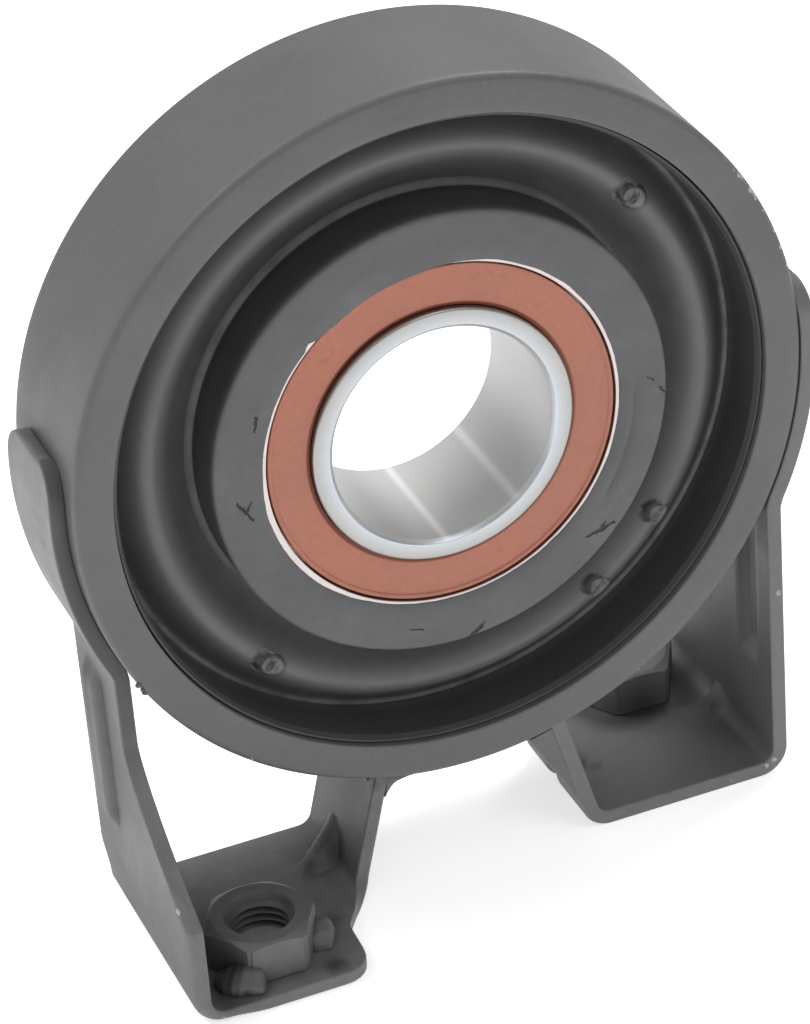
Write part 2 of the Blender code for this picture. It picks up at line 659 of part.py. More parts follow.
def main():
    clear_scene()
    parts = make_collection("centre_bearing")
    cutters = make_collection("cutters")
    ring_paint = make_material("ring_paint", (0.105, 0.105, 0.108), 0.5, 0.0)
    bracket_paint = make_material("bracket_paint", (0.115, 0.115, 0.112), 0.5, 0.0)
    nut_paint = make_material("nut_paint", (0.10, 0.10, 0.10), 0.45, 0.2)
    rubber = make_material("rubber", (0.045, 0.045, 0.048), 0.6, 0.0)
    sleeve_steel = make_material("sleeve_steel", (0.30, 0.30, 0.31), 0.45, 1.0)
    race_steel = make_material("race_steel", (0.62, 0.63, 0.62), 0.28, 1.0)
    ball_steel = make_material("ball_steel", (0.70, 0.70, 0.71), 0.12, 1.0)
    cage_plastic = make_material("cage_plastic", (0.55, 0.50, 0.38), 0.5, 0.0)
    seal_rubber = make_material("seal_rubber", (0.48, 0.14, 0.09), 0.55, 0.0)

    root = bpy.data.objects.new("axis_height", None)
    parts.objects.link(root)
    root.location = (0.0, AXIS_OFFSET, AXIS_HEIGHT)
    axis = bpy.data.objects.new("shaft_axis", None)
    parts.objects.link(axis)
    axis.parent = root
    axis.rotation_euler = (math.pi / 2, 0.0, 0.0)

    housing_ring(parts, axis, ring_paint)
    rubber_cushion(parts, axis, rubber)
    inner_sleeve(parts, axis, sleeve_steel)
    bearing_outer_race(parts, axis, race_steel)
    bearing_inner_race(parts, axis, race_steel)
    seal("front_seal", 1, parts, axis, seal_rubber)
    seal("rear_seal", -1, parts, axis, seal_rubber)
    balls(parts, axis, ball_steel)
    ball_cage(parts, cutters, axis, cage_plastic)

    pressing = bracket_mesh()
    sides = (("left", LEFT_STRAIGHT_EDGE, True), ("right", RIGHT_STRAIGHT_EDGE, False))
    for side, edge, turned in sides:
        bracket_side(side, edge, turned, pressing, (parts, cutters), root, (bracket_paint, nut_paint))


main()
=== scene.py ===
"""Finished pieces, materials and stage of a standing centre bearing for a propeller shaft."""

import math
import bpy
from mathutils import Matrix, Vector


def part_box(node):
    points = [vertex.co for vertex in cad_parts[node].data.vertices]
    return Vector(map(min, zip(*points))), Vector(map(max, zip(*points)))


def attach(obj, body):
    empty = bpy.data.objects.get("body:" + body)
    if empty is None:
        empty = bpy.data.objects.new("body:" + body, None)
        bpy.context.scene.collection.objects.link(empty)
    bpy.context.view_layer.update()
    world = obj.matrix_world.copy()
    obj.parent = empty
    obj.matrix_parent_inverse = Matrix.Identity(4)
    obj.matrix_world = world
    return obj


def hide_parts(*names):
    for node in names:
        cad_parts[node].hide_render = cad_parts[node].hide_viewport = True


bl_info = {
    "name": "Centre Bearing Finish",
    "version": (1, 0, 0),
    "blender": (4, 5, 0),
    "location": "View3D > Sidebar > Centre Bearing",
    "description": "Builds the finished pieces, their materials and the stage of a centre bearing",
    "category": "Object",
}

import bmesh
import bpy
from bpy.props import FloatProperty, FloatVectorProperty, IntProperty, PointerProperty
from mathutils import Euler, Matrix, Vector, noise

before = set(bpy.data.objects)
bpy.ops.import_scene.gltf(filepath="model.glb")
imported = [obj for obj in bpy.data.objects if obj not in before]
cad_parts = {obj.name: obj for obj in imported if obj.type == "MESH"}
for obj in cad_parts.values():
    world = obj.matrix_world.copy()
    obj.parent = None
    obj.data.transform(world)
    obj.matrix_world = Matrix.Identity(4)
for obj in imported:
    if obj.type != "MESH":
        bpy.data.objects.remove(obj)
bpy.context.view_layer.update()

RING_LOW, RING_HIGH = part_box("housing_ring")
AXIS = (Vector(RING_LOW) + Vector(RING_HIGH)) / 2
HALF_RING = (RING_HIGH[1] - RING_LOW[1]) / 2
LEFT_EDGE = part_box("left_bracket")[1][1]
RIGHT_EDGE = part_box("right_bracket")[0][1]
HOUSING = "housing"
SHARP = 38.0


# Settings

def length(name, description, default, **more):
    return FloatProperty(name=name, description=description, default=default, unit="LENGTH",
                         precision=5, **more)


def colour(name, description, default):
    return FloatVectorProperty(name=name, description=description, default=default,
                               subtype="COLOR", size=3, min=0.0, max=1.0)


def scalar(name, description, default):
    return FloatProperty(name=name, description=description, default=default)


def power(name, description, default):
    return FloatProperty(name=name, description=description, default=default, unit="POWER")


def facets(what, default):
    return IntProperty(name="Segments", description="Facets round " + what, default=default)


class RingSettings(bpy.types.PropertyGroup):
    radius: length("Radius", "Outside radius of the housing ring", 0.0661)
    wall: length("Wall", "Thickness of the housing ring", 0.0069)
    edge_round: length("Edge round", "Rounding of the outer edges", 0.0013)
    inner_round: length("Inner round", "Rounding of the inner edges", 0.0004)
    segments: facets("the ring", 288)


class RubberSettings(bpy.types.PropertyGroup):
    bearing_seat: length("Bearing seat", "Radius at which the rubber meets the bearing", 0.0343)
    cover: length("Cover", "Outside radius of the rubber on the sleeve", 0.0414)
    cover_half: length("Cover half width", "Half the width of the rubber on the sleeve", 0.0135)
    lining: length("Lining", "Inside radius of the rubber in the ring", 0.0580)
    lining_half: length("Lining half width", "Half the width of the rubber in the ring", 0.0145)
    foot: length("Foot", "How far forward the feet of the fold lie", 0.0027)
    fold: length("Fold", "Height of the fold over its feet", 0.0057)
    web: length("Web", "Thickness of the fold", 0.0036)
    segments: facets("the rubber", 400)


class BearingSettings(bpy.types.PropertyGroup):
    bore: length("Bore", "Radius of the bore", 0.020)
    outside: length("Outside", "Outside radius of the bearing", 0.034)
    inner_half: length("Inner half width", "Half the width of the inner race", 0.0136)
    outer_half: length("Outer half width", "Half the width of the outer race", 0.0132)
    land: length("Land", "Radius of the inner race's land", 0.0237)
    seal: length("Seal", "Outside radius of the seals", 0.0316)
    seal_depth: length("Seal depth", "Thickness of the seals", 0.0021)
    segments: facets("the bearing", 256)


class BracketSettings(bpy.types.PropertyGroup):
    sheet: length("Sheet", "Thickness of the pressed sheet", 0.0028)
    strap: length("Strap", "Width of the tab and the wall", 0.022)
    leg: length("Leg", "Width of the inner leg", 0.026)
    foot: length("Foot", "Depth of the foot along the shaft", 0.048)
    bend: length("Bend", "Middle radius of the bends", 0.004)
    tab_corner: length("Tab corner", "Rounding of the tab's corners", 0.006)
    flare_top: length("Flare top", "Depth below the shaft where the wall starts to widen", 0.0450)
    flare_bottom: length("Flare bottom", "Depth below the shaft where the wall has its full width", 0.0674)
    bead_height: length("Bead height", "How far the wall's bead stands out", 0.0015)
    left_dart: length("Left dart", "How far the dart of the left leg runs from its bend", 0.0080)
    right_dart: length("Right dart", "How far the dart of the right leg runs from its bend", 0.0056)
    gusset: length("Gusset", "How far the gusset at the right wall runs from its bend", 0.0048)
    edge_round: length("Edge round", "Rounding of the cut edges", 0.00035)
    edge_roll: length("Edge roll", "Rounding of the wall's outer edge at the foot", 0.0025)
    back_trim: length("Back trim", "How far the left foot is cut back behind", 0.0037)


class NutSettings(bpy.types.PropertyGroup):
    across_flats: length("Across flats", "Width of the nut across its flats", 0.018)
    height: length("Height", "Height of the nut", 0.0078)
    bore: length("Bore", "Root radius of the thread", 0.0061)
    pitch: length("Pitch", "Pitch of the thread", 0.00145)
    outboard: length("Outboard", "Distance of the nut from the middle of the part", 0.0448)
    forward: length("Forward", "Distance of the nut from the bracket's straight edge", 0.035)


class WeldSettings(bpy.types.PropertyGroup):
    fillet: length("Fillet", "Size of the fillet welds on the legs", 0.0034)
    radius: length("Radius", "Radius of the weld lumps at the nuts", 0.0029)
    pitch: length("Pitch", "Spacing of the ripples", 0.0017)
    ripple: scalar("Ripple", "Height of the ripples as a share of the radius", 0.02)
    seed: IntProperty(name="Seed", description="Seed of the uneven surface", default=4)


class FinishSettings(bpy.types.PropertyGroup):
    ring_paint: colour("Ring paint", "Paint on the housing ring", (0.107, 0.107, 0.110))
    bracket_paint: colour("Bracket paint", "Paint on the brackets", (0.125, 0.125, 0.122))
    rubber: colour("Rubber", "Moulded rubber", (0.098, 0.099, 0.103))
    steel: colour("Steel", "Ground bearing steel", (0.37, 0.365, 0.36))
    seal: colour("Seal", "Rubber of the seals", (0.43, 0.155, 0.098))


class StageSettings(bpy.types.PropertyGroup):
    lens: FloatProperty(name="Lens", description="Focal length on a 36 mm sensor", default=145.207,
                        unit="CAMERA")
    place: FloatVectorProperty(name="Place", description="Where the camera stands", subtype="TRANSLATION",
                               default=(-0.213579, -0.567282, 0.441433))
    turn: FloatVectorProperty(name="Turn", description="How the camera is turned", subtype="EULER",
                              default=[math.radians(turn) for turn in (58.2187, 3.95414, -22.72479)])
    sky: scalar("Sky", "Strength of the even light", 0.44)
    key: power("Key", "Power of the light from the left", 4.0)
    top: power("Top", "Power of the light from above", 6.0)
    fill: power("Fill", "Power of the light from the upper right", 1.5)
    front: power("Front", "Power of the light from the front", 0.4)


class CentreBearingSettings(bpy.types.PropertyGroup):
    ring: PointerProperty(type=RingSettings)
    rubber: PointerProperty(type=RubberSettings)
    bearing: PointerProperty(type=BearingSettings)
    bracket: PointerProperty(type=BracketSettings)
    nut: PointerProperty(type=NutSettings)
    weld: PointerProperty(type=WeldSettings)
    finish: PointerProperty(type=FinishSettings)
    stage: PointerProperty(type=StageSettings)


# Nodes

def set_socket(tree, socket, value):
    """Links an input to another node's output, or sets its value."""
    if isinstance(value, bpy.types.NodeSocket):
        tree.links.new(value, socket)
    else:
        socket.default_value = value


def add_node(tree, kind, sockets=None, **settings):
    """Adds a node, and sets or links its sockets."""
    item = tree.nodes.new(kind)
    for key, value in settings.items():
        setattr(item, key, value)
    for key, value in (sockets or {}).items():
        set_socket(tree, item.inputs[key], value)
    return item


def maths(tree, operation, first, second=0.0):
    return add_node(tree, "ShaderNodeMath", {0: first, 1: second}, operation=operation).outputs[0]


def grey(base, factor):
    """Colour with its three channels multiplied by a factor."""
    return (*(channel * factor for channel in base), 1.0)


class Coat:
    """A material being made: its nodes, its shader and the tone laid down so far."""

    def __init__(self, name, base, roughness, metallic=0.0):
        self.material = bpy.data.materials.new(name)
        self.material.use_nodes = True
        self.material.diffuse_color = (*base, 1.0)
        self.base, self.tree = base, self.material.node_tree
        self.shader = self.tree.nodes["Principled BSDF"]
        self.put("Base Color", (*base, 1.0))
        self.put("Roughness", roughness)
        self.put("Metallic", metallic)
        self.place = self.node("ShaderNodeTexCoord").outputs["Object"]

    def node(self, kind, sockets=None, **settings):
        return add_node(self.tree, kind, sockets, **settings)

    def vector(self, operation, sockets, output=0):
        return self.node("ShaderNodeVectorMath", sockets, operation=operation).outputs[output]

    def maths(self, operation, first, second=0.0):
        return maths(self.tree, operation, first, second)

    def product(self, first, second):
        return self.maths("MULTIPLY", first, second)

    def attribute(self, name):
        return self.node("ShaderNodeAttribute", attribute_name=name).outputs["Fac"]

    def noise(self, scale, detail=3.0, roughness=0.55, place=None):
        sockets = {"Vector": self.place if place is None else place, "Scale": scale, "Detail": detail,
                   "Roughness": roughness}
        return self.node("ShaderNodeTexNoise", sockets).outputs["Fac"]

    def spread(self, value, low, high, to_low=0.0, to_high=1.0):
        sockets = {"Value": value, "From Min": low, "From Max": high, "To Min": to_low, "To Max": to_high}
        return self.node("ShaderNodeMapRange", sockets).outputs["Result"]

    def clouds(self, scale, low, high, detail=3.0, roughness=0.55):
        """Noise that runs from 0 to 1 between two of its values."""
        return self.spread(self.noise(scale, detail, roughness), low, high)

    def shaft_place(self, around=0.004):
        """Pattern place (radius, angle, along), for marks that run round the shaft."""
        shifted = self.node("ShaderNodeMapping", {"Vector": self.place, "Location": tuple(-AXIS)})
        parts = self.node("ShaderNodeSeparateXYZ", {0: shifted.outputs[0]}).outputs
        flat = self.node("ShaderNodeCombineXYZ", {0: parts[0], 1: parts[2]})
        radius = self.vector("LENGTH", {0: flat.outputs[0]}, "Value")
        turned = self.product(self.maths("ABSOLUTE", self.maths("ARCTAN2", parts[2], parts[0])), around)
        return self.node("ShaderNodeCombineXYZ", {0: radius, 1: turned, 2: parts[1]}).outputs[0]

    def ragged(self, scale, amount):
        """Pattern place shaken by noise, so that marks get torn outlines."""
        shaken = self.node("ShaderNodeTexNoise", {"Vector": self.place, "Scale": scale, "Detail": 3.0})
        centred = self.vector("SUBTRACT", {0: shaken.outputs["Color"], 1: (0.5, 0.5, 0.5)})
        return self.vector("ADD", {0: self.place, 1: self.vector("SCALE", {0: centred, "Scale": amount})})

    def marks(self, place, spots, soft):
        """Nearness to any of several (place, reach) spots, from 0 outside them to 1 at their middles."""
        nearest = None
        for centre, reach in spots:
            gap = self.vector("DISTANCE", {0: place, 1: tuple(centre)}, "Value")
            share = self.maths("DIVIDE", gap, reach)
            nearest = share if nearest is None else self.maths("MINIMUM", nearest, share)
        return self.spread(nearest, 1.0, 1.0 - soft)

    def blend(self, share, first, second):
        return self.node("ShaderNodeMix", {0: share, 6: first, 7: second}, data_type="RGBA").outputs[2]

    def start(self, share, low, high):
        """Begins the tone between two strengths of the base colour."""
        self.tone = self.blend(share, grey(self.base, low), grey(self.base, high))

    def lay(self, share, tint):
        """Lays a colour, or a strength of the base colour, over the tone."""
        self.tone = self.blend(share, self.tone, grey(self.base, tint) if isinstance(tint, float) else tint)

    def put(self, name, value):
        set_socket(self.tree, self.shader.inputs[name], value)

    def finish(self, roughness, bumps=()):
        """Links the tone, the roughness and a stack of bumps given as (height, distance, strength)."""
        self.put("Base Color", self.tone)
        self.put("Roughness", roughness)
        normal = {}
        for height, distance, strength in bumps:
            sockets = {"Height": height, "Distance": distance, "Strength": strength, **normal}
            normal = {"Normal": self.node("ShaderNodeBump", sockets).outputs["Normal"]}
        for name, value in normal.items():
            self.put(name, value)
        return self.material


# Materials

CHIP_COLOUR = (0.40, 0.40, 0.39, 1.0)
# Colour of the painted highlight on the bore's chamfers.
CHAMFER_HIGHLIGHT_COLOUR = (0.62, 0.68, 0.74, 1.0)
# Colour of the painted shade in the seal's grooves.
LIP_GROOVE_SHADE_COLOUR = (0.20, 0.055, 0.032, 1.0)
NUB_REACH = 0.0016


def paint_material(name, base, chips, soot=()):
    """Satin grey dip paint with a fine grain and bare chips, lighter along worn edges and where painted
    highlight is laid, and with painted shade beside the welds and in other shaded places.
    """
    coat = Coat(name, base, 0.5)
    coat.start(coat.clouds(28.0, 0.3, 0.7, 4.0), 0.90, 1.10)
    coat.lay(coat.product(coat.clouds(900.0, 0.35, 0.65, 2.0), 0.35), 1.22)
    # Lighter where the rim value is set: worn edges, and painted highlight on the brackets' tabs, inner
    # bends and left floor and along the ring's bore edges.
    coat.lay(coat.product(coat.attribute("rim"), coat.clouds(220.0, 0.25, 0.75)), 1.9)
    # Painted shade: darker where the sheet's shade value is set, and in the listed spots beside the nuts,
    # in the legs' darts and on the front cut edges.
    dark = coat.attribute("soot")
    if soot:
        dark = coat.maths("MAXIMUM", dark, coat.marks(coat.ragged(260.0, 0.003), soot, 0.8))
    coat.lay(coat.product(dark, 0.8), 0.30)
    bare = coat.marks(coat.ragged(900.0, 0.0012), chips, 0.35)
    coat.lay(coat.product(bare, coat.clouds(800.0, 0.42, 0.52)), CHIP_COLOUR)
    pits = coat.clouds(420.0, 0.28, 0.40, 2.0)
    return coat.finish(coat.spread(coat.noise(60.0), 0.3, 0.7, 0.44, 0.60),
                       [(coat.noise(110.0), 0.00030, 0.4), (pits, 0.00006, 0.5),
                        (coat.noise(1500.0, 2.0), 0.00005, 0.6)])


def moved(spots, x, z):
    """Spots whose middles are moved in step with their reach, to set a nub's painted shadow and painted
    highlight to one side of it.
    """
    return [(centre + Vector((x, 0.0, z)) * (reach / NUB_REACH), reach) for centre, reach in spots]


def rubber_material(base, nubs, cracks):
    """Moulded rubber: dust and painted sheen on the outer faces, painted highlight on the ridges at the
    feet of the fold, painted shade in the recesses, torn nubs with painted shadow and painted highlight,
    and cracks.
    """
    coat = Coat("moulded_rubber", base, 0.55)
    coat.start(coat.clouds(70.0, 0.38, 0.68, 5.0, 0.6), 0.84, 1.12)
    coat.lay(coat.product(coat.clouds(650.0, 0.35, 0.65, 3.0, 0.6), 0.4), 0.72)
    # Dust, and painted sheen on the fold and the cover face.
    coat.lay(coat.attribute("dusty"), 1.45)
    # Painted highlight on the ridges at the feet of the fold.
    coat.lay(coat.product(coat.attribute("line"), coat.clouds(150.0, 0.3, 0.6)), 2.6)
    # Painted shade in the recesses by the ring and the sleeve and in the groove at the fold's inner foot.
    coat.lay(coat.attribute("deep"), 0.40)
    # Painted shadow on the upper left of each nub and painted highlight on its lower right, beside its
    # moulded pit; the cracks are darkened as well.
    hollow = coat.marks(coat.ragged(900.0, 0.0012), moved(nubs, -0.0006, 0.0005), 0.35)
    knob_and_highlight = coat.marks(coat.place, moved(nubs, 0.0005, -0.0005), 0.30)
    crack = coat.marks(coat.ragged(900.0, 0.0011), cracks, 0.45)
    dark = coat.maths("MAXIMUM", coat.maths("SUBTRACT", hollow, knob_and_highlight), crack)
    coat.lay(coat.product(dark, 0.92), 0.12)
    coat.lay(coat.product(knob_and_highlight, 0.45), 2.0)
    sunk = coat.maths("SUBTRACT", knob_and_highlight, coat.maths("MAXIMUM", hollow, crack))
    return coat.finish(coat.spread(coat.noise(90.0), 0.3, 0.7, 0.42, 0.60),
                       [(sunk, 0.0007, 0.9), (coat.noise(260.0, 4.0), 0.00018, 0.4),
                        (coat.noise(1400.0, 2.0), 0.00006, 0.6)])


def ground_steel_material(base):
    """Ground bearing steel with fine lines that run round the shaft, a duller bore with painted reflection
    streaks, and a painted bluish highlight on its chamfers.
    """
    coat = Coat("ground_steel", base, 0.30, 1.0)
    lines = coat.noise(3200.0, 3.0, 0.6, coat.shaft_place())
    coat.start(coat.spread(lines, 0.3, 0.7), 0.92, 1.06)
    coat.lay(coat.spread(coat.noise(90.0), 0.55, 0.75, 0.0, 0.3), 0.86)
    bore = coat.attribute("bore")
    coat.lay(bore, 1.45)
    # Painted reflection streaks in the bore.
    coat.lay(coat.attribute("streak"), 2.5)
    # Painted bluish highlight on the bore's chamfers.
    coat.lay(coat.attribute("chamfer"), CHAMFER_HIGHLIGHT_COLOUR)
    coat.put("Metallic", coat.spread(bore, 0.0, 1.0, 1.0, 0.45))
    rough = coat.maths("ADD", coat.spread(lines, 0.3, 0.7, 0.27, 0.35), coat.product(bore, 0.16))
    return coat.finish(rough, [(lines, 0.00002, 0.25)])


def seal_material(base):
    """Terracotta rubber with faint moulded lines round the shaft, a few dark smudges, and painted shade in
    the grooves at its lip and rim.
    """
    coat = Coat("seal_face", base, 0.5)
    lines = coat.noise(1500.0, 2.0, place=coat.shaft_place(0.05))
    cloud = coat.clouds(55.0, 0.3, 0.7, 4.0)
    coat.start(cloud, 0.90, 1.10)
    coat.lay(coat.spread(coat.noise(900.0), 0.35, 0.65, 0.0, 0.4), 0.80)
    coat.lay(coat.spread(lines, 0.4, 0.7, 0.0, 0.35), 0.80)
    coat.lay(coat.spread(coat.noise(230.0), 0.66, 0.76, 0.0, 0.55), 0.55)
    # Painted shade in the grooves at the seal's lip and rim.
    coat.lay(coat.attribute("deep"), LIP_GROOVE_SHADE_COLOUR)
    return coat.finish(coat.spread(cloud, 0.0, 1.0, 0.42, 0.56),
                       [(lines, 0.00004, 0.4), (coat.noise(900.0), 0.00003, 0.4)])


def simple_material(name, base, roughness, metallic, scale):
    """Even finish with slight clouding, for the pieces inside the bearing."""
    coat = Coat(name, base, roughness, metallic)
    cloud = coat.clouds(scale, 0.3, 0.7, 4.0)
    coat.start(cloud, 0.9, 1.1)
    return coat.finish(coat.spread(cloud, 0.0, 1.0, roughness * 0.85, roughness * 1.15))


def floor_material():
    """White paper lit from below, so that only a faint shadow shows at the feet."""
    coat = Coat("pale_floor", (0.86, 0.86, 0.86), 0.9)
    coat.put("Base Color", coat.blend(coat.noise(3.0), (0.85, 0.85, 0.85, 1.0), (0.87, 0.87, 0.87, 1.0)))
    coat.put("Specular IOR Level", 0.0)
    coat.put("Emission Color", (1.0, 1.0, 1.0, 1.0))
    coat.put("Emission Strength", 0.60)
    return coat.material


# Meshes

def linked(name, data):
    """Object with the given data, in the scene."""
    item = bpy.data.objects.new(name, data)
    bpy.context.scene.collection.objects.link(item)
    return item


def add_piece(name, mesh, material, body, slot, *replaced):
    """Adds a finished piece that rides on a body and stands for its CAD nodes."""
    item = linked(name, mesh)
    mesh.materials.clear()
    mesh.materials.append(material)
    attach(item, body)
    if replaced:
        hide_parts(*replaced)


def plain_mesh(shape, mesh):
    """Writes an edited shape into a mesh and frees it."""
    shape.to_mesh(mesh)
    shape.free()
    return mesh


def smooth_out(mesh, sharp=SHARP):
    """Turns all faces outward and shades them smooth up to an angle in degrees."""
    shape = bmesh.new()
    shape.from_mesh(mesh)
    bmesh.ops.recalc_face_normals(shape, faces=shape.faces)
    plain_mesh(shape, mesh)
    mesh.shade_smooth()
    mesh.set_sharp_from_angle(angle=math.radians(sharp))


def solid_mesh(name, places, faces, sharp=SHARP):
    """Smooth-shaded mesh of the given places and faces."""
    mesh = bpy.data.meshes.new(name)
    mesh.from_pydata(places, [], faces)
    smooth_out(mesh, sharp)
    return mesh


def strips(rings, count, joined=False):
    """Faces between neighbouring rings of points, joined in a circle or capped at both ends."""
    faces = []
    for ring in range(rings if joined else rings - 1):
        here, there = ring * count, (ring + 1) % rings * count
        faces += [(here + index, here + (index + 1) % count, there + (index + 1) % count, there + index)
                  for index in range(count)]
    if not joined:
        last = (rings - 1) * count
        faces += [tuple(range(count)), tuple(range(last + count - 1, last - 1, -1))]
    return faces


def made_mesh(item):
    """Plain mesh of an object with its modifiers applied, and the object removed."""
    depsgraph = bpy.context.evaluated_depsgraph_get()
    mesh = bpy.data.meshes.new_from_object(item.evaluated_get(depsgraph), depsgraph=depsgraph)
    bpy.data.objects.remove(item, do_unlink=True)
    return mesh


def combined(mesh, operation, tool):
    """Mesh left when a tool is cut away, or when only what lies inside the tool is kept."""
    item, cutter = linked(mesh.name, mesh), linked(tool.name, tool)
    cut = item.modifiers.new(tool.name, "BOOLEAN")
    cut.operation, cut.solver, cut.object = operation, "EXACT", cutter
    made = made_mesh(item)
    bpy.data.objects.remove(cutter, do_unlink=True)
    return made


def rounded(corners, steps=5):
    """Outline with each (x, y, round) corner turned into an arc."""
    points = []
    count = len(corners)
    for index, (x, y, size) in enumerate(corners):
        here = Vector((x, y))
        if size <= 0.0:
            points.append((x, y))
            continue
        back = (Vector(corners[index - 1][:2]) - here).normalized()
        ahead = (Vector(corners[(index + 1) % count][:2]) - here).normalized()
        half = back.angle(ahead) / 2
        centre = here + (back + ahead).normalized() * (size / math.sin(half))
        first = here + back * (size / math.tan(half)) - centre
        sweep = first.angle_signed(here + ahead * (size / math.tan(half)) - centre)
        for step in range(steps + 1):
            turn = -sweep * step / steps
            points.append((centre.x + first.x * math.cos(turn) - first.y * math.sin(turn),
                           centre.y + first.x * math.sin(turn) + first.y * math.cos(turn)))
    return points


def split(points, step):
    """Adds points on the long edges of a closed outline."""
    result = []
    for index, point in enumerate(points):
        following = points[(index + 1) % len(points)]
        count = max(1, math.ceil(math.dist(point, following) / step))
        for part in range(count):
            share = part / count
            result.append((point[0] + (following[0] - point[0]) * share,
                           point[1] + (following[1] - point[1]) * share))
    return result


def around_axis(radius, forward, angle):
    """World place given by its radius, its distance forward and its angle about the shaft."""
    return AXIS + Vector((radius * math.cos(angle), -forward, radius * math.sin(angle)))


def on_shaft(radius, forward, degrees):
    """The same, with the angle in degrees."""
    return around_axis(radius, forward, math.radians(degrees))


def turned_mesh(name, outline, segments, shape=None):
    """Spins a closed outline of (radius, forward) points about the shaft's axis."""
    places = []
    for turn in range(segments):
        angle = math.tau * turn / segments
        for point in outline:
            radius, forward = point if shape is None else shape(*point, angle)
            places.append(around_axis(radius, forward, angle))
    return solid_mesh(name, places, strips(segments, len(outline), joined=True))


def set_attributes(mesh, **given):
    """Sets named values, one for each point, which the materials read."""
    for name, values in given.items():
        mesh.attributes.new(name, "FLOAT", "POINT").data.foreach_set("value", values)


def mark_points(mesh, names, values):
    """Sets named values at each point, worked out from its radius, distance forward and degrees."""
    rows = []
    for vertex in mesh.vertices:
        place = vertex.co - AXIS
        degrees = math.degrees(math.atan2(place.z, place.x))
        rows.append(values(math.hypot(place.x, place.z), -place.y, degrees))
    set_attributes(mesh, **dict(zip(names, zip(*rows))))
    return mesh


def smooth_step(value, start, end):
    """Smooth way up from 0 at the start to 1 at the end."""
    share = min(max((value - start) / (end - start), 0.0), 1.0)
    return share * share * (3.0 - 2.0 * share)


def fall(value, start, end):
    """Smooth way down from 1 at the start to 0 at the end."""
    return 1.0 - smooth_step(value, start, end)


def bell(distance, reach):
    """Smooth hump, 1 in its middle and 0 from its reach on."""
    return 0.0 if abs(distance) >= reach else math.cos(math.pi * distance / (2 * reach)) ** 2


def uneven(angle, scale, seed):
    """Smooth random value from -1 to 1 that closes on itself round the circle."""
    return noise.noise(Vector((math.cos(angle) * scale, math.sin(angle) * scale, seed)))


def table_value(table, degrees):
    """Value between the (angle, value) entries of a table that runs from -180 to 180."""
    for (start, low), (end, high) in zip(table, table[1:]):
        if degrees <= end:
            return low + (high - low) * (degrees - start) / (end - start)
    return table[-1][1]


# Housing ring

# (degrees, reach) of the chips on the ring's front edge
RING_CHIPS = ((36.5, 0.0004), (34.0, 0.0005), (32.6, 0.0007), (31.8, 0.0004), (31.0, 0.0005),
              (29.2, 0.0007), (28.4, 0.0004), (27.6, 0.0006), (25.0, 0.0004), (22.4, 0.0006),
              (21.5, 0.0004), (20.6, 0.0005), (17.5, 0.0005), (14.0, 0.0004), (-60.0, 0.0004),
              (-128.0, 0.0004))
CHIP_INSET = 0.0004


def ring_mesh(ring):
    bore = ring.radius - ring.wall
    corners = [(ring.radius, -HALF_RING, ring.edge_round), (ring.radius, HALF_RING, ring.edge_round),
               (bore, HALF_RING, ring.inner_round), (bore, -HALF_RING, ring.inner_round)]
    mesh = turned_mesh("ring_body", split(rounded(corners), 0.0016), ring.segments)

    def tone_marks(radius, forward, degrees):
        # Lighter line along the bore's edges: worn paint and painted highlight.
        from_edge = max(abs(radius - bore), abs(abs(forward) - HALF_RING))
        return (0.3 * bell(from_edge, 0.0006),)

    return mark_points(mesh, ("rim",), tone_marks)


class CENTREBEARING_OT_ring(bpy.types.Operator):
    """Add the painted steel ring"""
    bl_idname = "centre_bearing.ring"
    bl_label = "Housing Ring"

    def execute(self, context):
        settings = context.scene.centre_bearing
        edge = settings.ring.radius - CHIP_INSET
        chips = [(on_shaft(edge, HALF_RING - CHIP_INSET, turn), reach) for turn, reach in RING_CHIPS]
        paint = paint_material("ring_enamel", settings.finish.ring_paint, chips)
        add_piece("ring_body", ring_mesh(settings.ring), paint, HOUSING, "ring_paint", "housing_ring")
        return {"FINISHED"}


# Rubber element

# (radius, degrees) of the nubs on the fold; (radius, degrees, reach) of those on the face
FOLD_NUBS = ((0.0508, -55.6), (0.0508, -36.8), (0.0506, 40.4), (0.0510, -130.7))
FACE_NUBS = ((0.0395, -2.0, 0.0013), (0.0398, -87.0, 0.0011), (0.0364, -173.0, 0.0010),
             (0.0352, 157.0, 0.0010), (0.0368, 86.0, 0.0007))
# (radius, degrees) where a crack starts and ends, and its reach
CRACKS = ((0.0372, -48.1, 0.0399, -41.3, 0.00045), (0.0386, -45.9, 0.0385, -42.0, 0.00035),
          (0.0411, -87.4, 0.0394, -83.0, 0.00050), (0.0376, -176.7, 0.0356, -170.3, 0.00040),
          (0.0373, -171.6, 0.0350, -175.8, 0.00035), (0.0353, 157.5, 0.0348, 162.5, 0.00040),
          (0.0378, 1.1, 0.0410, -4.6, 0.00035), (0.0372, -104.0, 0.0377, -99.0, 0.00022))
# (degrees, height) of the race's rim that the rubber leaves bare
BARE_RIM = ((-180.0, 0.0006), (-168.0, 0.0010), (-140.0, 0.0010), (-118.0, 0.0005), (-90.0, 0.0003),
            (-45.0, 0.0004), (0.0, 0.0005), (40.0, 0.0006), (70.0, 0.0004), (86.0, 0.0), (96.0, -0.0005),
            (124.0, -0.0006), (131.0, 0.0), (133.5, 0.0009), (136.0, 0.0003), (160.0, 0.0004),
            (180.0, 0.0006))
FACE_START, FACE_RIM = 0.0131, 0.0134  # distances forward between which the face's edge lies
SLEEVE_SIDE, RING_SIDE = 0.0360, 0.0589  # radii at which the rubber meets the sleeve and the ring


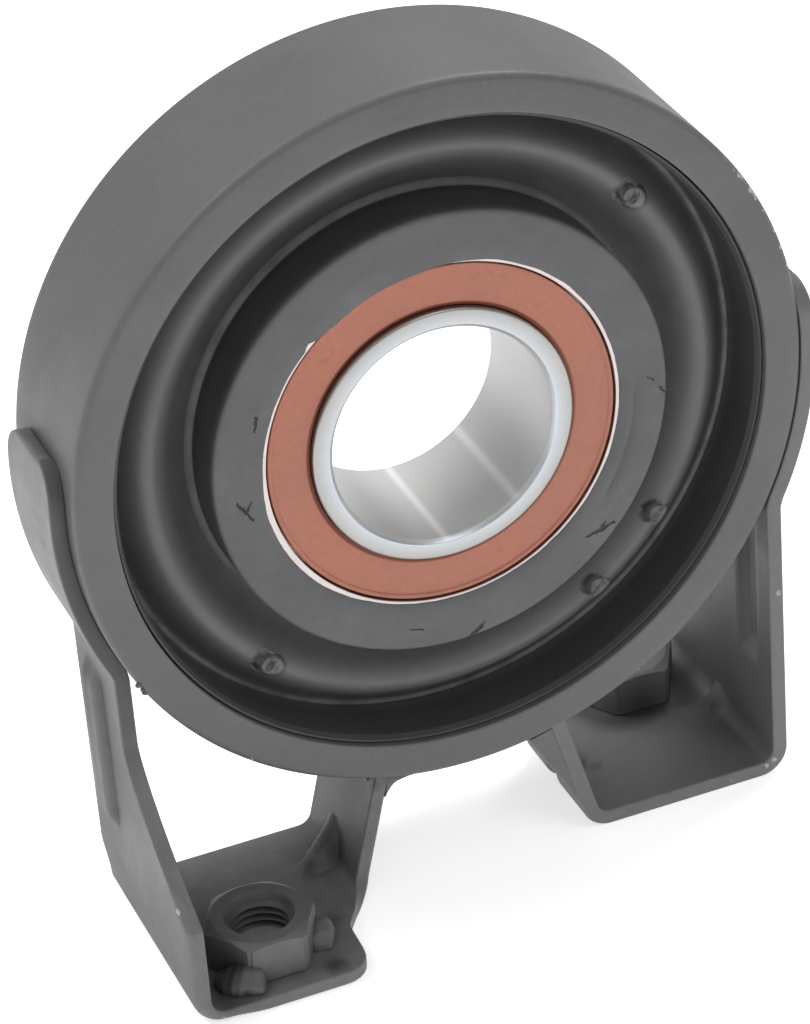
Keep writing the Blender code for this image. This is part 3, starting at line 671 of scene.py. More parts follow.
def strokes(table, forward):
    """Spots in a row along each (radius, angle, radius, angle, reach) stroke."""
    spots = []
    for start, first, end, last, reach in table:
        run = math.dist((start, 0.0), (end, start * math.radians(last - first)))
        count = max(2, math.ceil(run / reach))
        for step in range(count + 1):
            share = step / count
            thin = reach * (1.0 - 0.45 * abs(2.0 * share - 1.0))
            place = on_shaft(start + (end - start) * share, forward, first + (last - first) * share)
            spots.append((place, thin))
    return spots


def fold_front(rubber, radius):
    """Front of the rubber web, one rounded fold between two feet."""
    share = (radius - rubber.cover) / (rubber.lining - rubber.cover)
    return rubber.foot + rubber.fold * math.sin(math.pi * min(max(share, 0.0), 1.0) ** 1.23) ** 2


def rubber_outline(rubber, bearing):
    """Closed section: front of the fold, lining at the ring, back of the fold, and the sleeve's cover."""
    face, flash, foot = rubber.cover_half, bearing.outer_half + 0.00003, rubber.foot
    cover, lining, half, seat = rubber.cover, rubber.lining, rubber.lining_half, rubber.bearing_seat
    span = lining - cover
    front = [cover + span * step / 42 for step in range(1, 42)]
    front = [(radius, fold_front(rubber, radius), 0.0) for radius in front]
    back = [lining - span * step / 22 for step in range(1, 22)]
    back = [(radius, fold_front(rubber, radius) - rubber.web, 0.0) for radius in back]
    ridge = 0.00045
    corners = [(cover, face, 0.0007), (cover, foot + 2 * ridge, 0.0),
               (cover + 0.7 * ridge, foot + 1.6 * ridge, 0.0)]
    corners += front[2:-2]
    corners += [(lining - 1.6 * ridge, foot + 0.8 * ridge, 0.0),
                (lining - 0.6 * ridge, foot + 1.6 * ridge, 0.0), (lining, foot + 1.4 * ridge, 0.0),
                (lining, half - 0.001, 0.0004), (lining + 0.0005, half, 0.0), (RING_SIDE, half, 0.0),
                (RING_SIDE, -half, 0.0), (lining + 0.0005, -half, 0.0), (lining, -half + 0.001, 0.0004)]
    corners += back
    corners += [(cover, -face, 0.0007), (seat - 0.0004, -face, 0.0), (seat - 0.0005, -flash, 0.0),
                (SLEEVE_SIDE, -flash, 0.0), (SLEEVE_SIDE, flash, 0.0), (seat - 0.0008, flash, 0.0),
                (seat - 0.0006, face - 0.00012, 0.0), (seat + 0.0004, face, 0.0)]
    return split(rounded(corners, 4), 0.0009)


def nub_gap(radius, angle, at, degrees):
    """Distance from a nub's middle, seen along the shaft."""
    turn = math.radians(degrees) - angle
    return math.dist((radius, 0.0), (at * math.cos(turn), at * math.sin(turn)))


def rubber_mesh(rubber, bearing):
    seat, cover, lining = rubber.bearing_seat, rubber.cover, rubber.lining

    def shape(radius, forward, angle):
        degrees = math.degrees(angle) - (0.0 if angle <= math.pi else 360.0)
        if forward > FACE_START and radius < seat + 0.0003:
            edge = bearing.seal + 0.00035 + table_value(BARE_RIM, degrees)
            edge += 0.00010 * uneven(angle, 9.0, 3.0) + 0.00005 * uneven(angle, 40.0, 9.0)
            if forward < FACE_RIM or radius < seat - 0.0002:
                radius = edge + (0.0002 if forward > 0.01335 else 0.0)
        elif forward > FACE_START and radius < cover - 0.0008:
            forward += 0.00007 * uneven(angle, 9.0, radius * 900.0)
            ridge = bell(radius - SLEEVE_SIDE + 0.0004 - 0.0004 * uneven(angle, 6.0, 2.0), 0.0009)
            forward -= 0.00045 * ridge * fall(abs(degrees + 18.0), 10.0, 34.0)
            for at, turn, reach in FACE_NUBS:
                forward += 0.00030 * bell(nub_gap(radius, angle, at, turn), reach * 1.6)
        elif cover + 0.0012 < radius < lining - 0.0012 and forward > rubber.foot:
            for at, turn in FOLD_NUBS:
                gap = nub_gap(radius, angle, at, turn)
                forward += 0.00045 * bell(gap - 0.0019, 0.0012) - 0.0008 * bell(gap, NUB_REACH)
        return radius, forward

    def tone_marks(radius, forward, degrees):
        on_face = smooth_step(forward, 0.0120, FACE_RIM) * fall(radius, 0.0405, 0.0417)
        on_fold = bell(radius - 0.0502, 0.0062) * smooth_step(forward, 0.003, 0.0075)
        ridge = bell(radius - cover - 0.0005, 0.0006) + bell(radius - lining + 0.0005, 0.0006)
        wall = smooth_step(radius, lining - 0.0006, lining) * smooth_step(forward, 0.0040, 0.006)
        sleeve = fall(radius, 0.0415, 0.0422) * fall(forward, 0.0110, 0.0132)
        sleeve *= smooth_step(forward, 0.0036, 0.0045)
        groove = fall(radius, 0.0425, 0.0450) * fall(forward, 0.0040, 0.0062) * (forward > 0.0)
        # Dust, and painted sheen on the fold's crest and the cover face.
        dusty = 0.15 * on_face + 0.62 * on_fold
        # Painted shade in the recesses by the ring and the sleeve and in the groove at the fold's inner
        # foot.
        deep = 0.75 * wall + 0.75 * sleeve + 0.45 * groove
        # Painted highlight on the ridges at the feet of the fold.
        line = ridge * bell(forward - rubber.foot - 0.0006, 0.0009)
        return min(1.0, dusty), min(1.0, deep), min(1.0, line)

    mesh = turned_mesh("rubber_element", rubber_outline(rubber, bearing), rubber.segments, shape)
    return mark_points(mesh, ("dusty", "deep", "line"), tone_marks)


class CENTREBEARING_OT_rubber(bpy.types.Operator):
    """Add the moulded rubber element"""
    bl_idname = "centre_bearing.rubber"
    bl_label = "Rubber Element"

    def execute(self, context):
        settings = context.scene.centre_bearing
        rubber = settings.rubber
        nubs = [(on_shaft(at, fold_front(rubber, at), turn), 0.0025) for at, turn in FOLD_NUBS]
        coat = rubber_material(settings.finish.rubber, nubs, strokes(CRACKS, rubber.cover_half))
        mesh = rubber_mesh(rubber, settings.bearing)
        add_piece("rubber_element", mesh, coat, HOUSING, "rubber", "rubber_cushion")
        return {"FINISHED"}


# Ball bearing

SEAL_STEP = 0.0003  # gap round the seals, and their depth below the outer race's face
INNER_GROOVE, OUTER_GROOVE = 0.0245, 0.0295  # radii of the races between the seals
CHAMFER = 0.0007
# (degrees, half width, strength) of the painted reflection streaks in the bore
BORE_REFLECTIONS = ((-93.0, 4.5, 0.85), (-52.0, 4.0, 0.55), (-88.0, 40.0, 0.20))


def seal_back(bearing):
    """Distance from the bearing's middle at which the seals end inside."""
    return bearing.outer_half - SEAL_STEP - bearing.seal_depth - SEAL_STEP


def inner_race_mesh(bearing):
    half, land, bore, land_end = bearing.inner_half, bearing.land, bearing.bore, seal_back(bearing)
    corners = [(land, half, 0.0005), (land, land_end, 0.0), (INNER_GROOVE, land_end - 0.0006, 0.0),
               (INNER_GROOVE, -land_end + 0.0006, 0.0), (land, -land_end, 0.0), (land, -half, 0.0005),
               (bore + CHAMFER, -half, 0.00025), (bore, -half + CHAMFER, 0.0003),
               (bore, half - CHAMFER, 0.0003), (bore + CHAMFER, half, 0.00025)]
    mesh = turned_mesh("inner_race_ring", rounded(corners), bearing.segments)

    def tone_marks(radius, forward, degrees):
        inside = fall(radius, bore + 0.0001, bore + 0.0003)
        # Painted reflection streaks in the bore.
        light = max(share * bell(degrees - at, reach) for at, reach, share in BORE_REFLECTIONS)
        # The chamfer value is a painted highlight on the bore's chamfers.
        return inside, 0.8 * bell(radius - bore - 0.0005, 0.0006), light * inside

    return mark_points(mesh, ("bore", "chamfer", "streak"), tone_marks)


def outer_race_mesh(bearing):
    half, seat, seat_end = bearing.outer_half, bearing.seal + SEAL_STEP, seal_back(bearing)
    corners = [(bearing.outside, -half, 0.0006), (bearing.outside, half, 0.0006), (seat, half, 0.00015),
               (seat, seat_end, 0.0), (OUTER_GROOVE, seat_end, 0.0002), (OUTER_GROOVE, -seat_end, 0.0002),
               (seat, -seat_end, 0.0), (seat, -half, 0.00015)]
    return turned_mesh("outer_race_ring", rounded(corners), bearing.segments)


def seal_mesh(name, bearing, side):
    """Seal with a rim bead, a flat face set back from it and a lip at the inner race."""
    rim, face, lip = bearing.seal, bearing.outer_half - SEAL_STEP, bearing.land + 0.0001
    back = face - bearing.seal_depth
    corners = [(rim, back, 0.0), (rim, face, 0.00025), (rim - 0.0007, face, 0.00025),
               (rim - 0.0010, face - 0.00025, 0.0002), (lip + 0.0008, face - 0.00025, 0.0002),
               (lip + 0.0004, face - 0.0005, 0.0001), (lip, face - 0.0006, 0.0001),
               (lip, back + 0.0006, 0.0001), (lip + 0.0010, back, 0.0)]
    outline = [(radius, forward * side) for radius, forward in split(rounded(corners), 0.0015)]

    def tone_marks(radius, forward, degrees):
        # Painted shade in the grooves at the lip and at the rim.
        return (min(fall(radius, lip + 0.0004, lip + 0.0008) + bell(radius - rim, 0.0002), 1.0),)

    return mark_points(turned_mesh(name, outline, bearing.segments), ("deep",), tone_marks)


class CENTREBEARING_OT_bearing(bpy.types.Operator):
    """Add the races and seals, and finish the balls, the cage and the sleeve"""
    bl_idname = "centre_bearing.bearing"
    bl_label = "Ball Bearing"

    def execute(self, context):
        settings = context.scene.centre_bearing
        bearing, finish = settings.bearing, settings.finish
        ground = ground_steel_material(finish.steel)
        rim_steel = simple_material("race_rim", (0.60, 0.54, 0.52), 0.42, 1.0, 260.0)
        seal = seal_material(finish.seal)
        add_piece("inner_race_ring", inner_race_mesh(bearing), ground, "inner_race", "race_steel",
                  "bearing_inner_race")
        add_piece("outer_race_ring", outer_race_mesh(bearing), rim_steel, HOUSING, "race_steel",
                  "bearing_outer_race")
        for name, side in (("front_seal", 1), ("rear_seal", -1)):
            mesh = seal_mesh(name + "_face", bearing, side)
            add_piece(name + "_face", mesh, seal, HOUSING, "seal_rubber", name)
        polished = simple_material("polished_ball", (0.72, 0.72, 0.73), 0.10, 1.0, 200.0)
        hidden = {name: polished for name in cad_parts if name.startswith("ball_")}
        hidden["ball_cage"] = simple_material("cage_moulding", (0.55, 0.50, 0.38), 0.5, 0.0, 120.0)
        hidden["inner_sleeve"] = simple_material("sleeve_steel_plain", (0.30, 0.30, 0.31), 0.45, 1.0, 60.0)
        for name, material in hidden.items():
            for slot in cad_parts[name].material_slots:
                slot.material = material
        return {"FINISHED"}


# Brackets

LEG_ANGLE = math.radians(14.8)  # between the inner leg and an upright line
TAB_TOP = math.radians(9.0)  # how far round the ring the tab reaches above the shaft
WALL_OUTSIDE = 0.0615  # from the middle of the part to the wall's outer face
LEG_SUNK = 0.0012  # how far the leg's end runs into the ring under its welds
BOLT_HOLE = 0.0066  # radius
FOOT_TIP, FOOT_RUN, FOOT_CORNER = 0.029, 0.036, 0.005  # inner end, width and rounding of the foot there
BEAD_ACROSS = 0.0093  # from the straight edge to the bead's middle
LEG_DART = ((0.0172, 0.0132), 0.0026)  # where it starts and ends across the sheet, and its half width
WALL_GUSSET = ((0.0224, 0.0212), 0.0021)
THINNED = {0: 0.72, 1: 0.93}  # share of the thickness in the first rows, for the tab's rounded end


def quarter(across, aside, size, number, stride, tone_marks):
    """Points of one of a section's four rounded corners, each with the same wear and painted highlight, and
    painted shade.
    """
    turns = [math.pi / 2 * (number + step / 6) for step in range(1, 6, stride)]
    return [(across + size * math.sin(turn), aside + size * math.cos(turn), *tone_marks) for turn in turns]


class Pressing:
    """The bracket's sheet: its fold line seen along the shaft, and its two cut edges.

    A row is a line across the sheet: its x and z, and where its far and its near cut edge lie.
    """

    def __init__(self, bracket, ring_radius, left):
        self.form, self.left = bracket, left
        self.trim = bracket.back_trim if left else 0.0
        self.dart = bracket.left_dart if left else bracket.right_dart
        self.tab_radius = ring_radius + bracket.sheet / 2
        self.wall_x = WALL_OUTSIDE - bracket.sheet / 2
        self.floor_z = -AXIS.z + bracket.sheet / 2
        self.leg_foot = -self.floor_z * math.tan(LEG_ANGLE)
        self.leg_end = ring_radius - LEG_SUNK

    def tab(self):
        top = self.tab_radius * math.sin(TAB_TOP)
        leave = -self.tab_radius * math.sin(math.acos(self.wall_x / self.tab_radius))
        drops = [self.form.tab_corner * share for share in (0.0, 0.03, 0.10, 0.22, 0.38, 0.58, 0.8, 1.0)]
        count = 22
        rest = top - leave - 0.0012 - drops[-1]
        drops += [drops[-1] + rest * step / count for step in range(1, count + 1)]
        rows = []
        for drop in drops:
            height = top - drop
            short = max(self.form.tab_corner - drop, 0.0)
            inset = self.form.tab_corner - math.sqrt(self.form.tab_corner ** 2 - short ** 2)
            x = math.sqrt(self.tab_radius ** 2 - height ** 2)
            rows.append((x, height, self.form.strap - inset, inset))
        rows.append((self.wall_x + 0.00012, leave - 0.0003, self.form.strap, 0.0))
        return rows, leave

    def wall(self, leave):
        form = self.form
        rows, count = [], 64
        start, end = -leave + 0.0012, -self.floor_z - form.bend
        for step in range(count + 1):
            depth = start + (end - start) * step / count
            share = min(max((depth - form.flare_top) / (form.flare_bottom - form.flare_top), 0.0), 1.0)
            near = self.trim * smooth_step(depth, 0.077, end)
            rows.append((self.wall_x, -depth, form.strap + (form.foot - form.strap) * share ** 1.476, near))
        return rows

    def bend(self, centre_x, first, last, steps=9):
        """Points of a bend above the floor, between two angles."""
        for step in range(1, steps + 1):
            angle = first + (last - first) * step / steps
            yield (centre_x + self.form.bend * math.cos(angle),
                   self.floor_z + self.form.bend + self.form.bend * math.sin(angle))

    def floor(self):
        form = self.form
        start, end, count = self.wall_x - form.bend, FOOT_TIP + FOOT_CORNER, 24
        line = list(self.bend(start, 0.0, -math.pi / 2))
        line += [(start + (end - start) * step / count, self.floor_z) for step in range(1, count)]
        rows = [(x, z, form.foot, self.trim) for x, z in line]
        for share in (0.0, 0.25, 0.5, 0.7, 0.85, 0.95, 1.0):
            inset = FOOT_CORNER * (1.0 - math.sqrt(1.0 - share ** 2))
            rows.append((end - FOOT_CORNER * share, self.floor_z, form.foot - inset, self.trim))
        rows.append((FOOT_TIP - 0.0003, self.floor_z, FOOT_RUN, self.trim))
        return rows

    def leg(self):
        form = self.form
        turn = math.pi / 2 - LEG_ANGLE
        centre_x = self.leg_foot + form.bend * math.tan(turn / 2)
        bend = list(self.bend(centre_x, -math.pi / 2, -math.pi / 2 - turn))
        start = FOOT_TIP - 0.0003
        lead = [(start + (centre_x - start) * step / 3, self.floor_z) for step in (1, 2, 3)]
        rows = []
        for x, z in lead + bend:
            share = (x - bend[-1][0]) / (FOOT_TIP - bend[-1][0])
            rows.append((x, z, form.leg + (FOOT_RUN - form.leg) * share, self.trim))
        start = math.hypot(*bend[-1])
        count = 26
        for step in range(1, count + 1):
            radius = start + (self.leg_end - start) * step / count
            rows.append((radius * math.sin(LEG_ANGLE), -radius * math.cos(LEG_ANGLE), form.leg, self.trim))
        return rows

    def rows(self):
        tab, leave = self.tab()
        return tab + self.wall(leave) + self.floor() + self.leg()

    def columns(self, far, near):
        """Places across the sheet: even where the bead and the darts are, and wider beyond them."""
        fixed = [0.0, 0.0007, 0.0015, 0.0025, 0.0035] + [0.0045 + 0.0006 * step for step in range(28)]
        last = min(fixed[-1], far - 0.0013)
        places = [near + value * (last - near) / fixed[-1] for value in fixed]
        shares = (0.02, 0.045, 0.07, 0.095, 0.12, 0.145, 0.17, 0.2, 0.26, 0.36, 0.5, 0.66, 0.8, 0.9, 0.96,
                  1.0)
        return places + [last + (far - last) * share for share in shares]

    def bead(self, depth, across):
        """Height of the wall's long bead at a depth below the shaft."""
        rise = fall(abs(across - BEAD_ACROSS), 0.0026, 0.0043)
        rise *= smooth_step(depth, 0.0345, 0.0385) * fall(depth, 0.0640, 0.0685)
        return self.form.bead_height * rise

    def drawn(self, point, corner, ways, across, dart, reach):
        """Pulls a point at a bend toward a dart that runs straight across its corner."""
        (inward, onward), ((start, end), half) = ways, dart
        before, after = (corner - point).dot(inward), (point - corner).dot(onward)
        if before > reach or after > reach:
            return point
        share = (reach - max(before, 0.0) + max(after, 0.0)) / (2 * reach)
        aside = across - start - (end - start) * share
        if abs(aside) >= half:
            return point
        chord = (corner - inward * reach).lerp(corner + onward * reach, share)
        return point.lerp(chord, bell(aside, half) ** 0.8)

    def place(self, row, across):
        """Place on the sheet's middle, with its bead and darts."""
        x, z = row[:2]
        point = Vector((x, z))
        leg_corner = Vector((self.leg_foot, self.floor_z))
        up_leg = Vector((-math.sin(LEG_ANGLE), math.cos(LEG_ANGLE)))
        inward, down = Vector((-1.0, 0.0)), Vector((0.0, -1.0))
        point = self.drawn(point, leg_corner, (inward, up_leg), across, LEG_DART, self.dart)
        if not self.left:
            wall_corner = Vector((self.wall_x, self.floor_z))
            point = self.drawn(point, wall_corner, (down, inward), across, WALL_GUSSET, self.form.gusset)
        if abs(x - self.wall_x) < 0.00001:
            point.x += self.bead(-z, across)
        return Vector((point.x, across, point.y))

    def roll(self, row):
        """Radius of the outer corner at the far cut edge, which the shears drag round at the foot."""
        x, z = row[:2]
        form = self.form
        low = smooth_step(-z, 0.0615, 0.0665)
        inboard = smooth_step(self.wall_x - x, form.bend, 3 * form.bend)
        more = (form.edge_roll - form.edge_round) * (1.0 - inboard) + 0.0006 * inboard
        return form.edge_round + low * more

    def loop(self, rows, index):
        """Points round the sheet's section at a row, each with its wear and painted highlight, and its
        painted shade.
        """
        row = rows[index]
        thin = THINNED.get(index, 1.0)
        x, z, far, near = row
        depth, half, small, roll = -z, self.form.sheet / 2, self.form.edge_round, self.roll(row)
        columns = self.columns(far, near)
        outer, inner = ([near + small + (place - near) * (far - end - near - small) / (far - near)
                         for place in columns] for end in (roll, small))
        # Painted highlight on the tab's outer face.
        tab = 0.5 * fall(depth, 0.012, 0.034)
        # Painted highlight along the inside of the bend between wall and floor.
        inner_highlight = 0.45 * bell(x - self.wall_x + 0.0016, 0.0030) * smooth_step(depth, 0.080, 0.084)
        # Painted shade along the bead's flank, on the wall's outer face.
        bead_shade = 0.45 * smooth_step(depth, 0.034, 0.038) * fall(depth, 0.064, 0.069)
        dark = low = shade = 0.0
        if self.left:
            # On the left: painted highlight over the floor, painted shade on the cut face of the tab and
            # upper wall, and painted shade on the wall's outer face below the tab.
            inner_highlight += 0.40 * smooth_step(depth, 0.0845, 0.0862)
            dark = 0.75 * fall(depth, 0.040, 0.052)
            low = 0.48 * smooth_step(depth, 0.030, 0.040) * fall(depth, 0.083, 0.087)
        elif x > 0.050:
            # Painted shade on the right wall's inner face.
            shade = 0.28 * fall(depth, 0.066, 0.082)
        section = [(across, half, tab, low + bead_shade * bell(across - 0.0085, 0.0030)) for across in outer]
        section += quarter(far - roll, half - roll, roll, 0, 1, (0.25, dark * 0.6))
        section += [(far, half - roll, 0.1, dark), (far, small - half, 0.4, dark)]
        section += quarter(far - small, small - half, small, 1, 2, (0.5, dark * 0.5))
        section += [(across, -half, min(inner_highlight, 1.0), shade) for across in reversed(inner)]
        section += quarter(near + small, small - half, small, 2, 2, (0.5, 0.0))
        section += [(near, small - half, 0.2, 0.0), (near, half - small, 0.2, 0.0)]
        section += quarter(near + small, half - small, small, 3, 2, (0.5, 0.0))
        before, after = rows[max(index - 1, 0)], rows[min(index + 1, len(rows) - 1)]
        points = []
        for across, aside, tone_marks, soot in section:
            along = self.place(after, across) - self.place(before, across)
            cross = self.place(row, across + 0.0002) - self.place(row, across - 0.0002)
            normal = along.cross(cross).normalized()
            points.append((self.place(row, across) + normal * (aside * thin), tone_marks, soot))
        return points


def to_world(place, side):
    """Moves a point from a bracket's own frame to its place on the left or the right."""
    if side == "left":
        return Vector((-place.x, LEFT_EDGE - place.y, place.z + AXIS.z))
    return Vector((place.x, RIGHT_EDGE + place.y, place.z + AXIS.z))


def bolt_hole(nut, side):
    shape = bmesh.new()
    bmesh.ops.create_cone(shape, cap_ends=True, segments=64, radius1=BOLT_HOLE, radius2=BOLT_HOLE,
                          depth=0.012)
    place = to_world(Vector((nut.outboard, nut.forward, -AXIS.z)), side)
    bmesh.ops.translate(shape, verts=shape.verts, vec=place)
    return plain_mesh(shape, bpy.data.meshes.new("bolt_hole"))


def pressing_mesh(settings, side):
    pressing = Pressing(settings.bracket, settings.ring.radius, side == "left")
    rows = pressing.rows()
    loops = [pressing.loop(rows, index) for index in range(len(rows))]
    places, tone_marks, soot = zip(*(point for loop in loops for point in loop))
    places = [to_world(place, side) for place in places]
    sheet = solid_mesh(side + "_sheet", places, strips(len(rows), len(loops[0])))
    # The rim value holds wear and painted highlight, the second value painted shade.
    set_attributes(sheet, rim=tone_marks, soot=soot)
    made = combined(sheet, "DIFFERENCE", bolt_hole(settings.nut, side))
    smooth_out(made, 50.0)
    return made


# World (x, y, z, reach) of the bare chips, and of the spots of painted shade beside the nuts and welds, in
# the legs' darts, at the right gusset and on the front cut edges
BRACKET_CHIPS = ((0.0693, -0.0128, 0.0965, 0.0006), (0.0606, -0.0130, 0.0385, 0.0007),
                 (0.0588, -0.0133, 0.0030, 0.0007), (0.0572, -0.0133, 0.0020, 0.0005),
                 (0.0500, -0.0133, 0.0010, 0.0004), (-0.0568, -0.0346, 0.0010, 0.0006),
                 (-0.0615, -0.0300, 0.0225, 0.0007))
PAINTED_SHADE_SPOTS = ((-0.0540, -0.0290, 0.0045, 0.0085), (-0.0310, -0.0195, 0.0035, 0.0030),
             (-0.0350, -0.0320, 0.0030, 0.0030), (-0.0245, -0.0038, 0.0060, 0.0042),
             (-0.0285, -0.0045, 0.0035, 0.0036), (0.0290, 0.0005, 0.0035, 0.0022),
             (0.0440, 0.0110, 0.0045, 0.0085), (-0.0150, -0.0128, 0.0250, 0.0034),
             (-0.0185, -0.0128, 0.0235, 0.0024), (0.0560, 0.0075, 0.0035, 0.0026),
             (-0.0575, -0.0128, 0.0530, 0.0060), (-0.0640, -0.0128, 0.0620, 0.0050))


def spots_of(table):
    return [(Vector(spot[:3]), spot[3]) for spot in table]


def bracket_paint(name, base):
    return paint_material(name, base, spots_of(BRACKET_CHIPS), spots_of(PAINTED_SHADE_SPOTS))


class CENTREBEARING_OT_brackets(bpy.types.Operator):
    """Add the two pressed brackets"""
    bl_idname = "centre_bearing.brackets"
    bl_label = "Brackets"

    def execute(self, context):
        settings = context.scene.centre_bearing
        paint = bracket_paint("bracket_enamel", settings.finish.bracket_paint)
        for side in ("left", "right"):
            mesh = pressing_mesh(settings, side)
            add_piece(side + "_pressing", mesh, paint, HOUSING, "bracket_paint", side + "_bracket")
        return {"FINISHED"}


# Weld nuts

NUT_FACE = 0.0084  # radius of the flat top inside the chamfer
NUT_SHADE = 0.86  # strength of the bracket's paint on the nuts, darker as painted shade
WORN_ANGLE, EDGE_WEAR = math.radians(20.0), 0.45


def nut_body(nut):
    """Hexagon with a chamfered top, a bore at the thread's root and a countersink."""
    corner_radius = nut.across_flats / math.sqrt(3.0)
    shape = bmesh.new()
    turn = Matrix.Rotation(math.pi / 6, 4, "Z")
    bmesh.ops.create_cone(shape, cap_ends=True, segments=6, radius1=corner_radius, radius2=corner_radius,
                          depth=nut.height, matrix=Matrix.Translation((0.0, 0.0, nut.height / 2)) @ turn)
    upright = [edge for edge in shape.edges
               if abs(edge.verts[0].co.z - edge.verts[1].co.z) > nut.height / 2]
    bmesh.ops.bevel(shape, geom=upright, offset=0.0005, segments=3, affect="EDGES")
    hexagon = plain_mesh(shape, bpy.data.meshes.new("hexagon"))
    outside, top = corner_radius + 0.001, nut.height
    slope = 0.0011 / (corner_radius - NUT_FACE)
    corners = [(nut.bore, -0.001, 0.0), (outside, -0.001, 0.0),
               (outside, top - slope * (outside - NUT_FACE), 0.0), (NUT_FACE, top, 0.0004),
               (nut.bore + 0.0003, top, 0.0001), (nut.bore, top - 0.0004, 0.0)]
    outline, segments = rounded(corners), 72
    angles = [math.tau * turn / segments for turn in range(segments)]
    places = [(radius * math.cos(angle), radius * math.sin(angle), height)
              for angle in angles for radius, height in outline]
    blank = solid_mesh("blank", places, strips(segments, len(outline), joined=True))
    return combined(hexagon, "INTERSECT", blank)


def rim_wear(mesh):
    """Wear of a body's edges, from how its faces meet at each point."""
    values = [0.0] * len(mesh.vertices)
    shape = bmesh.new()
    shape.from_mesh(mesh)
    for edge in shape.edges:
        if len(edge.link_faces) == 2 and edge.calc_face_angle(0.0) > WORN_ANGLE:
            for vertex in edge.verts:
                values[vertex.index] = EDGE_WEAR
    shape.free()
    return values


def new_tree(name, **inputs):
    """Geometry tree with its input sockets, and the identifiers by which these are set."""
    tree = bpy.data.node_groups.new(name, "GeometryNodeTree")
    tree.interface.new_socket(name="Geometry", in_out="OUTPUT", socket_type="NodeSocketGeometry")
    sockets = {}
    for label, kind in inputs.items():
        socket = tree.interface.new_socket(name=label, in_out="INPUT", socket_type="NodeSocket" + kind)
        sockets[label] = socket.identifier
    return tree, tree.nodes.new("NodeGroupInput").outputs, sockets


def finish_tree(tree, geometry, material):
    """Ends a tree in plain faces with their material."""
    faces = add_node(tree, "GeometryNodeRealizeInstances", {0: geometry})
    coated = add_node(tree, "GeometryNodeSetMaterial", {"Geometry": faces.outputs[0], "Material": material})
    add_node(tree, "NodeGroupOutput", {0: coated.outputs[0]})


def thread_tree():
    """A thread's ridge that winds up the inside of a bore."""
    tree, given, sockets = new_tree("nut_thread", Radius="Float", Pitch="Float", Height="Float",
                                    Material="Material")
    turns = maths(tree, "DIVIDE", given["Height"], given["Pitch"])
    spiral = add_node(tree, "GeometryNodeCurveSpiral",
                      {"Resolution": 64, "Rotations": turns, "Start Radius": given["Radius"],
                       "End Radius": given["Radius"], "Height": given["Height"]})
    upright = add_node(tree, "GeometryNodeSetCurveNormal", {"Curve": spiral.outputs[0]}, mode="Z_UP")
    size = maths(tree, "MULTIPLY", given["Pitch"], 0.56)
    profile = add_node(tree, "GeometryNodeCurvePrimitiveCircle", {"Resolution": 3, "Radius": size})
    swept = add_node(tree, "GeometryNodeCurveToMesh",
                     {"Curve": upright.outputs[0], "Profile Curve": profile.outputs[0], "Fill Caps": True})
    finish_tree(tree, swept.outputs[0], given["Material"])
    return tree, sockets


def grown_mesh(name, grower, values, data=None):
    """Result of a (tree, sockets) pair as a plain mesh, from start data or an empty mesh."""
    tree, sockets = grower
    item = linked(name, data or bpy.data.meshes.new(name))
    modifier = item.modifiers.new(name, "NODES")
    modifier.node_group = tree
    for label, value in values.items():
        modifier[sockets[label]] = value
    return made_mesh(item)


class CENTREBEARING_OT_nuts(bpy.types.Operator):
    """Add the weld nuts and their threads"""
    bl_idname = "centre_bearing.nuts"
    bl_label = "Weld Nuts"

    def execute(self, context):
        settings = context.scene.centre_bearing
        nut = settings.nut
        # Bracket paint made darker on the nuts, as painted shade.
        paint = bracket_paint("nut_enamel", grey(settings.finish.bracket_paint, NUT_SHADE)[:3])
        cut_steel = simple_material("thread_steel", (0.10, 0.10, 0.10), 0.5, 0.4, 300.0)
        grower = thread_tree()
        base = settings.bracket.sheet + 0.0003 - AXIS.z
        values = {"Radius": nut.bore - nut.pitch * 0.12, "Pitch": nut.pitch,
                  "Height": nut.height - nut.pitch * 1.3, "Material": cut_steel}
        for side in ("left", "right"):
            body = nut_body(nut)
            spin = Matrix.Rotation(math.pi if side == "left" else 0.0, 4, "Z")
            place = Matrix.Translation(to_world(Vector((nut.outboard, nut.forward, base)), side)) @ spin
            body.transform(place)
            smooth_out(body)
            set_attributes(body, rim=rim_wear(body))
            add_piece(side + "_nut_body", body, paint, HOUSING, "nut_paint", side + "_weld_nut")
            thread = grown_mesh(side + "_nut_thread", grower, values)
            thread.transform(place @ Matrix.Translation((0.0, 0.0, nut.pitch * 0.3)))
            smooth_out(thread, 30.0)
            add_piece(side + "_nut_thread", thread, cut_steel, HOUSING, "nut_paint")
        return {"FINISHED"}


# Weld runs

